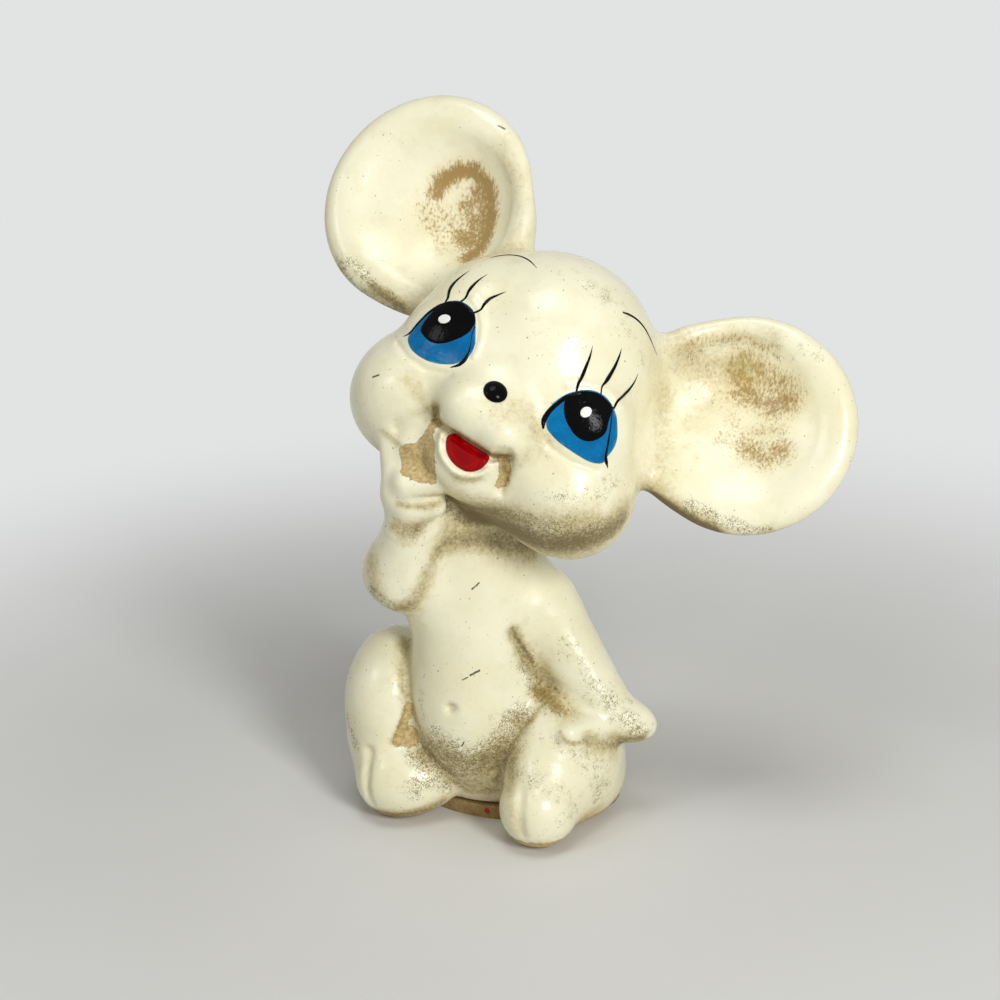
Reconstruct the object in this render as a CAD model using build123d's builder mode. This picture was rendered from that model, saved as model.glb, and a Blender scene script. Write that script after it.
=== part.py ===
from build123d import *
import os
from math import asin, degrees

# A seated mouse figurine, slip-cast in clay and painted cold: hollow body and head, round dished
# ears, one bent arm with its hand at the cheek, one straight arm with its hand on the thigh, and
# raised coats of enamel for the eyes, lashes, brows, nose and tongue.
# Millimetres. The origin is the middle of the foot ring on the table, +Z is up, the body faces -Y
# and the mouse's own left is +X.

# Clay walls, joins and paint
wall = 3.0
enamel = 0.3
lip_height = 0.9
foot_lift = 0.3
overrun = 1.0

# Foot ring: the bare clay rim that the figure stands on
ring_width = 38.4
ring_depth = 26.0
ring_height = 2.5
ring_rim = 4.0
drain_radius = 4.5

# Body: rise, sideways place, front to back place, half width and half depth of each row
torso_width = 35.6
torso_depth = 32.2
torso_height = 57.5
torso_shares = (
    (0.000, 0.00, 0.00, 0.990, 0.77),
    (0.045, -0.03, -0.04, 1.000, 0.86),
    (0.113, -0.09, -0.10, 0.966, 0.92),
    (0.165, -0.13, -0.14, 0.933, 0.96),
    (0.235, -0.16, -0.19, 0.893, 0.99),
    (0.304, -0.17, -0.22, 0.860, 1.00),
    (0.374, -0.18, -0.27, 0.781, 0.95),
    (0.443, -0.20, -0.35, 0.697, 0.85),
    (0.513, -0.20, -0.40, 0.660, 0.78),
    (0.583, -0.20, -0.42, 0.657, 0.70),
    (0.652, -0.19, -0.41, 0.646, 0.66),
    (0.722, -0.14, -0.41, 0.624, 0.64),
    (0.791, -0.11, -0.39, 0.612, 0.64),
    (0.861, -0.08, -0.39, 0.590, 0.64),
    (0.930, -0.08, -0.40, 0.534, 0.56),
    (1.000, -0.07, -0.40, 0.440, 0.47),
)
first_hollow_row, last_hollow_row = 1, 14
navel_radius = 1.3
navel_shares = (-0.25, -1.25, 0.372)
vent_radius = 3.0
vent_shares = (-0.06, -0.37)

# Head: it turns, looks up and leans over to the mouse's left
head_width = 53.6
head_depth = 37.2
head_height = 46.8
head_turn = 6.8
head_lift = 22.1
head_lean = 31.7
head_seat_shares = (0.116, 0.022, 0.327)
chin_share = -0.440
skull_shares = (
    (0.000, 0.15, 0.16, 0.000),
    (0.021, 0.45, 0.35, 0.000),
    (0.056, 0.77, 0.51, 0.000),
    (0.120, 0.92, 0.70, 0.000),
    (0.184, 0.98, 0.83, 0.000),
    (0.248, 1.00, 0.91, 0.011),
    (0.333, 0.99, 0.96, 0.016),
    (0.440, 0.88, 0.99, 0.032),
    (0.568, 0.73, 0.99, 0.054),
    (0.697, 0.67, 0.95, 0.054),
    (0.825, 0.58, 0.82, 0.054),
    (0.910, 0.44, 0.63, 0.054),
    (0.974, 0.26, 0.37, 0.054),
    (1.000, 0.09, 0.13, 0.054),
)
first_skull_row, last_skull_row = 3, 11
cheek_size_shares = (0.381, 0.634, 0.220)
cheek_shares = (0.63, -0.215, -0.184)
muzzle_size_shares = (0.343, 0.452, 0.145)
muzzle_shares = (0.0, -0.726, -0.103)
chin_size_shares = (0.284, 0.355, 0.120)
chin_place_shares = (0.02, -0.618, -0.288)
eye_mound_size_shares = (0.284, 0.323, 0.141)
eye_mound_shares = (0.481, -0.532, 0.056)

# Ears: a round dish with a thick soft rim, and a root that runs into the head. Each stands out
# from a place on the head by a share of its own radius
ear_radii = {"right": 18.9, "left": 18.6}
ear_half_thickness = 5.6
ear_rim = 1.9
dish_centre_height = 7.0
dish_radius_of_depth = 9.0
ear_foot_shares = {"right": (-0.771, 0.296, 0.297), "left": (0.729, 0.294, 0.261)}
ear_reach_shares = {"right": (-0.722, 0.052, 0.312), "left": (0.735, 0.055, 0.270)}
ear_swing = {"right": -11.0, "left": -5.5}
ear_nod = 5.0
root_size_shares = (0.747, 0.640, 0.235)
root_reach_share = 0.533

# Legs: haunch and foot
haunch_size_shares = {"right": (0.506, 0.745, 0.235), "left": (0.607, 0.807, 0.217)}
haunch_shares = {"right": (-1.107, -0.404, 0.278), "left": (0.618, -0.248, 0.174)}
heel_shares = {"right": (-1.096, -0.559), "left": (0.646, -0.496)}
toe_shares = {"right": (-0.983, -0.895), "left": (0.500, -1.180)}
heel_radii = {"right": 8.0, "left": 7.8}
heel_lift = {"right": 3.0, "left": 0.2}
toe_radii = {"right": 7.3, "left": 7.2}
instep_radii = (8.0, 7.0, 6.0)
instep_shares = (-0.787, -0.808)
instep_lift = 1.0

# Straight left arm, its hand on the thigh
left_shoulder_shares = (0.393, -0.23, 0.617)
left_wrist_shares = (0.955, -0.360, 0.365)
left_hand_shares = (1.168, -0.367, 0.283)
left_hand_along_shares = (0.9, 0.2, -0.35)
left_hand_back_shares = (0.25, 0.3, 0.9)
left_thumb_step = (-2.3, -2.6, -0.2)
left_thumb_reach = (-3.1, -2.5, -1.3)
left_shoulder_radius = 6.3
left_wrist_radius = 4.9
left_hand_radii = (7.2, 4.2, 4.1)
left_thumb_radius = 2.4
left_thumb_tip_radius = 2.0

# Bent right arm, its hand against the cheek
right_shoulder_shares = (-0.472, -0.466, 0.645)
right_elbow_shares = (-0.742, -0.932, 0.774)
right_forearm_shares = (-0.753, -1.025, 0.782)
right_hand_shares = (-0.165, -0.456, -0.506)
right_wrist_step = (-1.4, 1.4, -5.2)
right_shoulder_radius = 7.0
right_elbow_radius = 6.5
right_forearm_radius = 6.4
right_wrist_radius = 4.6
right_hand_radii = (5.2, 3.8, 5.2)
finger_starts = {"index": (-1.7, -0.6, 1.0), "middle": (0.9, -2.8, 3.4), "ring": (0.7, -2.1, -0.8)}
finger_reaches = {"index": (-2.3, 0.7, 7.5), "middle": (5.6, 0.8, -0.2), "ring": (6.0, 1.1, 0.0)}
finger_radii = {"index": (2.8, 1.7), "middle": (2.5, 2.1), "ring": (2.2, 1.7)}

# Tail: short, pressed to the back of the rump
tail_root_shares = (0.17, 0.74, 0.150)
tail_bend_shares = (0.507, 0.777, 0.063)
tail_tip_shares = (0.900, 0.579, 0.025)
tail_root_radius = 2.8
tail_bend_radius = 2.2
tail_tip_radius = 1.4

# Painted face, in the plane that the face looks out of: sideways and up from the head's middle,
# as shares of the head's width and height, and the paint's own sizes
eye_size_shares = (0.239, 0.229)
eye_place_shares = (0.259, 0.062)
pupil_size_shares = (0.153, 0.171)
pupil_place_shares = (0.259, 0.083)
glint_size_shares = (0.034, 0.034)
glint_place_shares = (0.259, 0.090)
lash_length = 6.4
lash_thickness = 0.8
lash_starts_shares = ((-0.29, 0.38), (-0.05, 0.48), (0.19, 0.40))
lash_leans = (18.0, 11.0, 7.0)
brow_width = 7.6
brow_height = 1.9
brow_thickness = 0.5
brow_place_shares = (0.211, 0.425)
nose_size_shares = (0.078, 0.071)
nose_place_shares = (0.0, -0.019)
nose_roll = -25.0
tongue_size_shares = (0.142, 0.184)
tongue_place_shares = (0.017, -0.224)
lip_gap = 0.4
lip_width = 1.5

sides = {"right": -1, "left": 1}
unit_ball = Sphere(1)

torso_half_width = torso_width / 2
torso_half_depth = torso_depth / 2
head_half_width = head_width / 2
head_half_depth = head_depth / 2
neck_top = ring_height + torso_height


def step(start, offset):
    """The point an offset away from another."""
    return tuple(a + b for a, b in zip(start, offset))


def of_torso(shares):
    """A step or a size as shares of the body's half width, half depth and height."""
    x_share, y_share, z_share = shares
    return (x_share * torso_half_width, y_share * torso_half_depth, z_share * torso_height)


def on_torso(shares):
    """A point of the body's box: sideways and back from its middle, and up from its underside."""
    return step((0, 0, ring_height), of_torso(shares))


def at_height(shares, height):
    """A point beside the body's middle, at a height over the table."""
    return (shares[0] * torso_half_width, shares[1] * torso_half_depth, height)


def of_head(shares):
    """A point or a size as shares of the head's half width, half depth and height."""
    x_share, y_share, z_share = shares
    return (x_share * head_half_width, y_share * head_half_depth, z_share * head_height)


def of_face(shares):
    """A point or a size of the painted face, as shares of the head's width and height."""
    return (shares[0] * head_width, shares[1] * head_height)


def ellipsoid(radii):
    """A lump of clay with three radii, centred on the origin."""
    return scale(unit_ball, by=radii, mode=Mode.PRIVATE)


def limb(start, end, start_radius, end_radius):
    """A round limb that tapers from one point to another, with a round cap at each end."""
    run = Vector(*end) - Vector(*start)
    slant = asin((start_radius - end_radius) / run.length)
    with BuildPart() as bar:
        with BuildSketch(Plane.XZ):
            with BuildLine():
                foot = CenterArc((0, 0), start_radius, -90, 90 + degrees(slant))
                tip = CenterArc((0, run.length), end_radius, degrees(slant), 90 - degrees(slant))
                Line(foot @ 1, tip @ 0)
                Line(tip @ 1, foot @ 0)
            make_face()
        revolve(axis=Axis.Z)
    return bar.part.moved(Plane(origin=start, z_dir=run).location)


def torso_rows(first, last, inset):
    """The body lofted through its oval rows, drawn in by an inset."""
    with BuildPart() as form:
        for rise_share, side_share, back_share, wide_share, deep_share in torso_shares[first:last]:
            with BuildSketch(Plane.XY.offset(ring_height + rise_share * torso_height)):
                with Locations((side_share * torso_half_width, back_share * torso_half_depth)):
                    Ellipse(wide_share * torso_half_width - inset, deep_share * torso_half_depth - inset)
        loft()
    return form.part


neck_shares = torso_shares[-1]
head_centre = (
    neck_shares[1] * torso_half_width + head_seat_shares[0] * head_width,
    neck_shares[2] * torso_half_depth + head_seat_shares[1] * head_depth,
    neck_top + head_seat_shares[2] * head_height,
)
head_seat = Pos(*head_centre) * Rot(Z=head_turn) * Rot(X=-head_lift) * Rot(Y=head_lean)
crown_plane = Plane(head_seat)
face_plane = Plane(head_seat * Rot(X=90))


def skull_rows(first, last, growth):
    """The skull and jaw lofted through oval rows from chin to crown, grown outward by a coat."""
    with BuildPart() as form:
        for rise_share, wide_share, deep_share, back_share in skull_shares[first:last]:
            rise = (chin_share + rise_share) * (head_height + 2 * growth)
            with BuildSketch(crown_plane.offset(rise)):
                with Locations((0, back_share * head_half_depth)):
                    Ellipse(wide_share * head_half_width + growth, deep_share * head_half_depth + growth)
        loft()
    return form.part


def head_form(growth):
    """Skull, cheeks, eye mounds, muzzle and chin in one, grown outward by a coat."""
    lumps = [(muzzle_shares, muzzle_size_shares), (chin_place_shares, chin_size_shares)]
    for sign in sides.values():
        for (x_share, y_share, z_share), size_shares in (
            (cheek_shares, cheek_size_shares),
            (eye_mound_shares, eye_mound_size_shares),
        ):
            lumps.append(((sign * x_share, y_share, z_share), size_shares))
    skull = skull_rows(0, len(skull_shares), growth)
    with BuildPart() as form:
        add(skull)
        for shares, size_shares in lumps:
            grown = tuple(radius + growth for radius in of_head(size_shares))
            with Locations(head_seat * Pos(*of_head(shares))):
                add(ellipsoid(grown))
    return form.part


# Foot ring, open in the middle, on which everything stands, and the block that it is cut from
with BuildPart() as foot_ring:
    with BuildSketch():
        Ellipse(ring_width / 2, ring_depth / 2)
        Ellipse(ring_width / 2 - ring_rim, ring_depth / 2 - ring_rim, mode=Mode.SUBTRACT)
    extrude(amount=ring_height)
with BuildPart() as ring_block:
    with BuildSketch():
        Ellipse(ring_width / 2, ring_depth / 2)
    extrude(amount=ring_height)

# Head: a hollow casting with its raised lower lip
head_core = head_form(0)
head_cavity = skull_rows(first_skull_row, last_skull_row + 1, -wall)
vent_start = last_hollow_row - 2
vent_foot = ring_height + torso_shares[vent_start][0] * torso_height
vent_place = (vent_shares[0] * torso_half_width, vent_shares[1] * torso_half_depth)
coat_plane = face_plane.offset(-overrun)

tongue_place = of_face(tongue_place_shares)
tongue_half_width, tongue_drop = (size / 2 for size in of_face(tongue_size_shares))

with BuildPart() as lip_ridge:
    with BuildSketch(coat_plane):
        with Locations(tongue_place):
            Ellipse(tongue_half_width + lip_gap + lip_width, tongue_drop + lip_gap + lip_width)
            Ellipse(tongue_half_width + lip_gap, tongue_drop + lip_gap, mode=Mode.SUBTRACT)
            Rectangle(head_width, head_height, align=(Align.CENTER, Align.MIN), mode=Mode.SUBTRACT)
    extrude(amount=head_depth)
    add(head_form(lip_height), mode=Mode.INTERSECT)

with BuildPart() as head:
    add(head_core)
    add(lip_ridge.part)
    add(head_cavity, mode=Mode.SUBTRACT)
    with BuildSketch(Plane.XY.offset(vent_foot)):
        with Locations(vent_place):
            Circle(vent_radius)
    extrude(amount=head_centre[2] - vent_foot, mode=Mode.SUBTRACT)

# Body: a hollow casting whose neck is cut to the underside of the head
torso_core = torso_rows(0, len(torso_shares), 0)
torso_cavity = torso_rows(first_hollow_row, last_hollow_row, wall)
with BuildPart() as torso:
    add(torso_core)
    add(head_core, mode=Mode.SUBTRACT)
    add(torso_cavity, mode=Mode.SUBTRACT)
    with BuildSketch(Plane.XY.offset(ring_height - overrun)):
        Circle(drain_radius)
    extrude(amount=wall + torso_shares[first_hollow_row][0] * torso_height, mode=Mode.SUBTRACT)
    with BuildSketch(Plane.XY.offset(vent_foot)):
        with Locations(vent_place):
            Circle(vent_radius)
    extrude(amount=head_centre[2] - vent_foot, mode=Mode.SUBTRACT)
    with Locations(on_torso(navel_shares)):
        Sphere(navel_radius, mode=Mode.SUBTRACT)

# Legs: each haunch with its foot, cut to the body and to the foot ring's block, flat under the foot
legs = {}
for side in sides:
    haunch = on_torso(haunch_shares[side])
    heel = at_height(heel_shares[side], heel_radii[side] + heel_lift[side])
    toe = at_height(toe_shares[side], toe_radii[side])
    foot = limb(heel, toe, heel_radii[side], toe_radii[side])
    with BuildPart() as leg:
        with Locations(haunch):
            add(ellipsoid(of_torso(haunch_size_shares[side])))
        add(foot)
        if side == "right":
            with Locations(at_height(instep_shares, instep_radii[-1] + instep_lift)):
                add(ellipsoid(instep_radii))
        split(bisect_by=Plane.XY.offset(foot_lift), keep=Keep.TOP)
        add(torso_core, mode=Mode.SUBTRACT)
        add(ring_block.part, mode=Mode.SUBTRACT)
    leg.part.label = f"{side}_leg"
    legs[side] = leg.part

# Ears: each a round lump with its root, dished out in front and cut to the head
ears = {}
for side, sign in sides.items():
    radius = ear_radii[side]
    ear_foot = of_head(ear_foot_shares[side])
    ear_middle = step(ear_foot, [radius * share for share in ear_reach_shares[side]])
    ear_seat = head_seat * Pos(*ear_middle) * Rot(Z=ear_swing[side]) * Rot(X=90 - ear_nod)
    root_radii = tuple(radius * share for share in root_size_shares)
    root_reach = radius * root_reach_share
    reach = Vector(-sign * root_reach, -root_reach / 2, 0)
    with BuildPart() as ear:
        with Locations(ear_seat):
            add(ellipsoid((radius, radius, ear_half_thickness)))
        with Locations(ear_seat * Pos(reach)):
            add(ellipsoid(root_radii))
        with Locations(ear_seat * Pos(0, 0, dish_centre_height)):
            add(ellipsoid((radius - ear_rim, radius - ear_rim, dish_radius_of_depth)), mode=Mode.SUBTRACT)
        add(head_core, mode=Mode.SUBTRACT)
    ear.part.label = f"{side}_ear"
    ears[side] = ear.part

# Left arm: straight, with its hand on the thigh
left_shoulder = on_torso(left_shoulder_shares)
left_wrist = on_torso(left_wrist_shares)
left_hand = on_torso(left_hand_shares)
left_thumb = step(left_hand, left_thumb_step)
left_thumb_tip = step(left_thumb, left_thumb_reach)
left_hand_plane = Plane(origin=left_hand, x_dir=left_hand_along_shares, z_dir=left_hand_back_shares)
with BuildPart() as left_arm:
    add(limb(left_shoulder, left_wrist, left_shoulder_radius, left_wrist_radius))
    with Locations(left_hand_plane):
        add(ellipsoid(left_hand_radii))
    add(limb(left_thumb, left_thumb_tip, left_thumb_radius, left_thumb_tip_radius))
    add(torso_core, mode=Mode.SUBTRACT)
    add(legs["left"], mode=Mode.SUBTRACT)

# Right arm: bent up, with its hand against the cheek
right_shoulder = on_torso(right_shoulder_shares)
right_elbow = on_torso(right_elbow_shares)
right_forearm = on_torso(right_forearm_shares)
right_hand = tuple((head_seat * Pos(*of_head(right_hand_shares))).position)
right_wrist = step(right_hand, right_wrist_step)
with BuildPart() as right_arm:
    add(limb(right_shoulder, right_elbow, right_shoulder_radius, right_elbow_radius))
    add(limb(right_forearm, right_wrist, right_forearm_radius, right_wrist_radius))
    with Locations(right_hand):
        add(ellipsoid(right_hand_radii))
    for finger, start in finger_starts.items():
        knuckle = step(right_hand, start)
        fingertip = step(knuckle, finger_reaches[finger])
        add(limb(knuckle, fingertip, *finger_radii[finger]))
    add(torso_core, mode=Mode.SUBTRACT)
    add(head_core, mode=Mode.SUBTRACT)

# Tail: down the back of the rump and round to the left
tail_root = on_torso(tail_root_shares)
tail_bend = on_torso(tail_bend_shares)
tail_tip = on_torso(tail_tip_shares)
with BuildPart() as tail:
    add(limb(tail_root, tail_bend, tail_root_radius, tail_bend_radius))
    add(limb(tail_bend, tail_tip, tail_bend_radius, tail_tip_radius))
    add(torso_core, mode=Mode.SUBTRACT)
    add(legs["left"], mode=Mode.SUBTRACT)
    add(foot_ring.part, mode=Mode.SUBTRACT)

# The head's form over the enamel: a coat fills the space between it and the clay
painted_form = head_form(enamel)


def arc_stroke(length, thickness, bow):
    """A brush stroke upward from the origin: pointed at both ends and bowed sideways."""
    middle = length / 2
    with BuildSketch() as stroke:
        with BuildLine():
            ThreePointArc((0, 0), (bow + thickness / 2, middle), (0, length))
            ThreePointArc((0, length), (bow - thickness / 2, middle), (0, 0))
        make_face()
    return stroke.sketch


def on_side(sign, shares):
    """A place of the painted face, out to the right or the left from its middle."""
    across, rise = of_face(shares)
    return (sign * across, rise)


def oval(place, size_shares):
    """A round patch of paint, sized as shares of the head."""
    width, height = of_face(size_shares)
    with BuildSketch() as patch:
        with Locations(place):
            Ellipse(width / 2, height / 2)
    return patch.sketch


def on_eye(sign, shares):
    """A point of the eye, as shares of the eye's own width and height from its middle."""
    middle = on_side(sign, eye_place_shares)
    width, height = of_face(eye_size_shares)
    return (middle[0] + sign * shares[0] * width, middle[1] + shares[1] * height)


def eye_outline(sign):
    """The eye's outline: a high rounded lid, a flat lower edge and a pointed outer corner."""
    corner, lid, bottom = [
        [on_eye(sign, shares) for shares in row]
        for row in (
            ((0.49, -0.39), (0.34, 0.22)),
            ((-0.04, 0.50), (-0.36, 0.27)),
            ((-0.47, -0.13), (-0.10, -0.50)),
        )
    ]
    with BuildSketch() as eye:
        with BuildLine():
            ThreePointArc(*corner, lid[0])
            ThreePointArc(*lid, bottom[0])
            ThreePointArc(*bottom, corner[0])
        make_face()
    return eye.sketch


coats = {}


def lay_coat(name, outline, neighbours=()):
    """Run an outline of the face forward and keep what lies between the clay and the painted form."""
    with BuildPart() as coat:
        with BuildSketch(coat_plane):
            add(outline)
        extrude(amount=head_depth)
        add(painted_form, mode=Mode.INTERSECT)
        for solid in (head_core, *neighbours):
            add(solid, mode=Mode.SUBTRACT)
    coat.part.label = name
    coats[name] = coat.part


for side, sign in sides.items():
    whole_eye = eye_outline(sign)
    whole_pupil = oval(on_side(sign, pupil_place_shares), pupil_size_shares)
    glint = oval(on_side(sign, glint_place_shares), glint_size_shares)
    brow_start = step(on_side(sign, brow_place_shares), (-sign * brow_width / 2, 0))
    with BuildSketch() as pupil:
        add(whole_pupil)
        add(whole_eye, mode=Mode.INTERSECT)
        add(glint, mode=Mode.SUBTRACT)
    with BuildSketch() as iris:
        add(whole_eye)
        add(whole_pupil, mode=Mode.SUBTRACT)
    with BuildSketch() as lashes:
        for shares, lean in zip(lash_starts_shares, lash_leans):
            with Locations(Location(on_eye(sign, shares), sign * lean)):
                add(arc_stroke(lash_length, lash_thickness, sign * lash_thickness))
        add(whole_eye, mode=Mode.SUBTRACT)
    with BuildSketch() as brow:
        with Locations(Location(brow_start, -sign * 90)):
            add(arc_stroke(brow_width, brow_thickness, -sign * brow_height))
    lay_coat(f"{side}_iris", iris.sketch)
    lay_coat(f"{side}_pupil", pupil.sketch)
    lay_coat(f"{side}_glint", glint)
    lay_coat(f"{side}_lashes", lashes.sketch)
    lay_coat(f"{side}_brow", brow.sketch, [ears[side]])

nose_place = of_face(nose_place_shares)
nose_width, nose_height = of_face(nose_size_shares)
with BuildSketch() as nose_outline:
    with Locations(Location(nose_place, nose_roll)):
        Ellipse(nose_width / 2, nose_height / 2)
lay_coat("nose", nose_outline.sketch)

with BuildSketch() as tongue_outline:
    with Locations(tongue_place):
        Ellipse(tongue_half_width, tongue_drop)
        Rectangle(head_width, head_height, align=(Align.CENTER, Align.MIN), mode=Mode.SUBTRACT)
lay_coat("tongue", tongue_outline.sketch)

torso.part.label = "torso"
foot_ring.part.label = "foot_ring"
head.part.label = "head"
left_arm.part.label = "left_arm"
right_arm.part.label = "right_arm"
tail.part.label = "tail"

castings = [torso.part, foot_ring.part, head.part, left_arm.part, right_arm.part, tail.part]
os.makedirs("parts", exist_ok=True)
for piece in [*castings, *legs.values(), *ears.values(), *coats.values()]:
    export_step(piece, f"parts/{piece.label}.step")
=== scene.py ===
from math import cos, pi, radians, sin

import bmesh
import bpy
import numpy as np
from mathutils import Matrix, Vector


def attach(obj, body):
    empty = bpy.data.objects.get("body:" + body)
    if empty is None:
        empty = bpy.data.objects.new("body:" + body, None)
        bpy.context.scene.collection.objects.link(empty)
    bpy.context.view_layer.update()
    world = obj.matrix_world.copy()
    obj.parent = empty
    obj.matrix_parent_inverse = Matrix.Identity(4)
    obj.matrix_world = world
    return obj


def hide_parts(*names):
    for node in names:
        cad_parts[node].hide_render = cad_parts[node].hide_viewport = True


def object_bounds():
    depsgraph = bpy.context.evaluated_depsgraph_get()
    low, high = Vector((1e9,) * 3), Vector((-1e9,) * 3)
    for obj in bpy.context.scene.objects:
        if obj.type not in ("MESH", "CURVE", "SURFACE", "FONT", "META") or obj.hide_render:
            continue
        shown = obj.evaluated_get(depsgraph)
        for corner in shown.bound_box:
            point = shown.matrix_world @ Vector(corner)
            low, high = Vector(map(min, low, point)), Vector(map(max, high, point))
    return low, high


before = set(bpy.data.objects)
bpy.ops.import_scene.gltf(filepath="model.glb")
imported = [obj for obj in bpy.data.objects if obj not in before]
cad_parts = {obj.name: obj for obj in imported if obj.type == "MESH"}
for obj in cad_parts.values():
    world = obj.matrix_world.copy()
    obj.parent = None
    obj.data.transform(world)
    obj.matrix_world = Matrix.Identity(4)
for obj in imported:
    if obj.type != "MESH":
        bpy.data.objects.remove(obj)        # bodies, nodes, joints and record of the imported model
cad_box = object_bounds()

MILLIMETRE = 0.001
REACH_MARGIN = 9.0


def lump(p, middle, radii, axes=None):
    """Distance in millimetres from points to an oval lump of clay."""
    q = p - np.asarray(middle, np.float32)
    if axes is not None:
        q = q @ axes
    radii = np.asarray(radii, np.float32)
    q = q / radii
    near = np.sqrt((q * q).sum(1)) + 1e-6
    steep = np.sqrt(((q / radii) ** 2).sum(1)) + 1e-6
    return near * (near - 1) / steep


def limb(p, start, end, start_radius, end_radius):
    """Distance to a round limb that tapers from one point to another."""
    start = np.asarray(start, np.float32)
    run = np.asarray(end, np.float32) - start
    q = p - start
    along = np.clip(q @ run / (run @ run + 1e-9), 0, 1)
    thick = start_radius + (end_radius - start_radius) * along
    return np.sqrt(((q - along[:, None] * run) ** 2).sum(1)) - thick


def join(a, b, softness):
    """Two forms luted together, the crease between them wiped to a softness."""
    share = np.clip(0.5 + 0.5 * (b - a) / softness, 0, 1)
    return b + (a - b) * share - softness * share * (1 - share)


def carve(a, b, softness):
    """The first form with the second one scraped out of it."""
    return -join(-a, b, softness)


def build(p, first, *others):
    """Clay built up from a first piece and others, each luted on with the softness it starts with."""
    form = first[0](p, *first[1:])
    for softness, kind, *sizes in others:
        form = join(form, kind(p, *sizes), softness)
    return form


def near_only(form, middle, reach):
    """Works a form out only around itself; further off, the distance to a ball around it serves."""
    middle = np.asarray(middle, np.float32)

    def measured(p):
        found = np.sqrt(((p - middle) ** 2).sum(1)) - reach
        near = found < REACH_MARGIN
        found[near] = form(p[near])
        return found

    return measured


def along_line(p, points):
    """Distance from points to a line through a few places."""
    nearest = None
    for start, end in zip(points, points[1:] or points):
        found = limb(p, start, end, 0, 0)
        nearest = found if nearest is None else np.minimum(nearest, found)
    return nearest


def groove(p, points, width, depth):
    """How far a line tooled into the clay, or raised from it, moves its surface."""
    return depth * np.exp(-((along_line(p, points) / width) ** 2))


RING_TOP = 2.5
RING_ROOM = 19.4, 13.2
DRAIN_RADIUS = 4.5
UNDERARM_LINE = (4.9, -13.8, 36.3), (6.4, -12.4, 30.9), (8.7, -9.6, 25.5), (12.3, -10.8, 23.2)


def torso_form(p):
    form = build(
        p,
        (lump, (-4.5, -7.5, 22.5), (11.6, 12.5, 18.5)),
        (5, lump, (-3, -1, 16), (16, 14, 16)),
        (4, lump, (-0.3, -0.3, 8), (17.6, 13.2, 9.5)),
        (8, limb, (-2.4, -6, 36), (-0.4, -4.7, 50), 9.3, 7.9),
        (5, limb, (-6, -8, 39), (-5, -9.5, 52), 8.2, 7.2),
        (2, limb, (6.5, -3.5, 35), (9, -3, 24), 4.2, 4.8),
    )
    navel = lump(p, (-4.6, -20.2, 23.7), (1.15, 1.5, 1.0))
    navel_button = lump(p, (-3.7, -18.6, 22.7), (1.5, 1.0, 1.3))
    form = join(carve(form, navel, 1.0), navel_button, 1.5)
    form = form + groove(p, UNDERARM_LINE, 0.8, 0.9)
    form = carve(form, p[:, 2] - RING_TOP, 0.8)
    return carve(form, limb(p, (0, 0, 0), (0, 0, 9), DRAIN_RADIUS, DRAIN_RADIUS), 0.8)


# What years of handling left on the body, and painted shade: the marks of grime and shade also darken
# creases and places under overhangs, where shade falls.
# Each mark says how far it spreads in millimetres, how strong it is, and the line that it follows.
marks = {kind: [] for kind in ("bare", "grime_and_shade", "flecks", "stain")}
marks["bare"] += [
    (1, 0.75, (10.8, -9, 24.2), (13.1, -10.9, 22.9), (14.8, -12.2, 21.2)),
]
# Grime along the creases, under the belly and under the chin: real dirt, and painted shade where shade
# falls.
marks["grime_and_shade"] += [
    (1.8, 1, (4.9, -13.8, 36.3), (6.4, -12.4, 30.9), (8.7, -8.4, 25.5), (12.3, -10.6, 23.2),
     (15.3, -12.7, 20.3)),
    (1.95, 0.8, (-16.9, -9, 31), (-15.6, -14.9, 26), (-13.2, -16.1, 20.1), (-8.7, -18, 14.8)),
    (0.8, 0.35, (-4.8, -19.5, 23.5)),
    (2.7, 0.8, (-7.4, -17.1, 11.1), (-3.4, -15.7, 7.6), (1.7, -15.8, 9.6)),
    (2.7, 1.1, (-5.6, -17.4, 54), (-0.8, -15.6, 53.6), (3.5, -12.5, 52.2), (7.2, -7.4, 49.8)),
    (0.75, 1.3, (4.7, -13.3, 36.3), (6.9, -11, 30.7), (10.1, -9, 24.2), (14.5, -12.3, 21.5)),
    (2.2, 1, (7.9, -10.3, 24.9), (11.8, -12.6, 23.3)),
    (2.6, 0.9, (-6.6, -18.7, 15), (-2.3, -18.3, 13.4), (2.7, -16.6, 15)),
    (1.6, 0.8, (-7.2, -16.7, 8.9), (-3.7, -14.9, 6.2), (0.3, -14.6, 6.5)),
    (4, 0.8, (-6.5, -18.6, 14.6), (-1.2, -17.4, 11.9), (3.6, -16.1, 15.7)),
]
marks["flecks"] += [
    (4.5, 0.9, (-7.4, -19, 17), (-2.3, -18.3, 13.4), (2.8, -16.8, 16.5), (5.3, -15, 20.7)),
    (2.5, 0.5, (-11.2, -17.7, 23.9), (-9.2, -18.6, 18.8)),
    (3, 0.85, (5.6, -12.6, 31.9), (7.5, -10.6, 25.5), (11.1, -12.9, 21.8)),
    (4, 1.4, (-10.2, -16.7, 13.1), (-2.4, -18, 12.7), (2.7, -16.7, 15.5)),
]
marks["stain"] += [
    (2, 0.9, (8.4, -10.7, 24.3), (13.1, -13.4, 22.3)),
]


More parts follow.
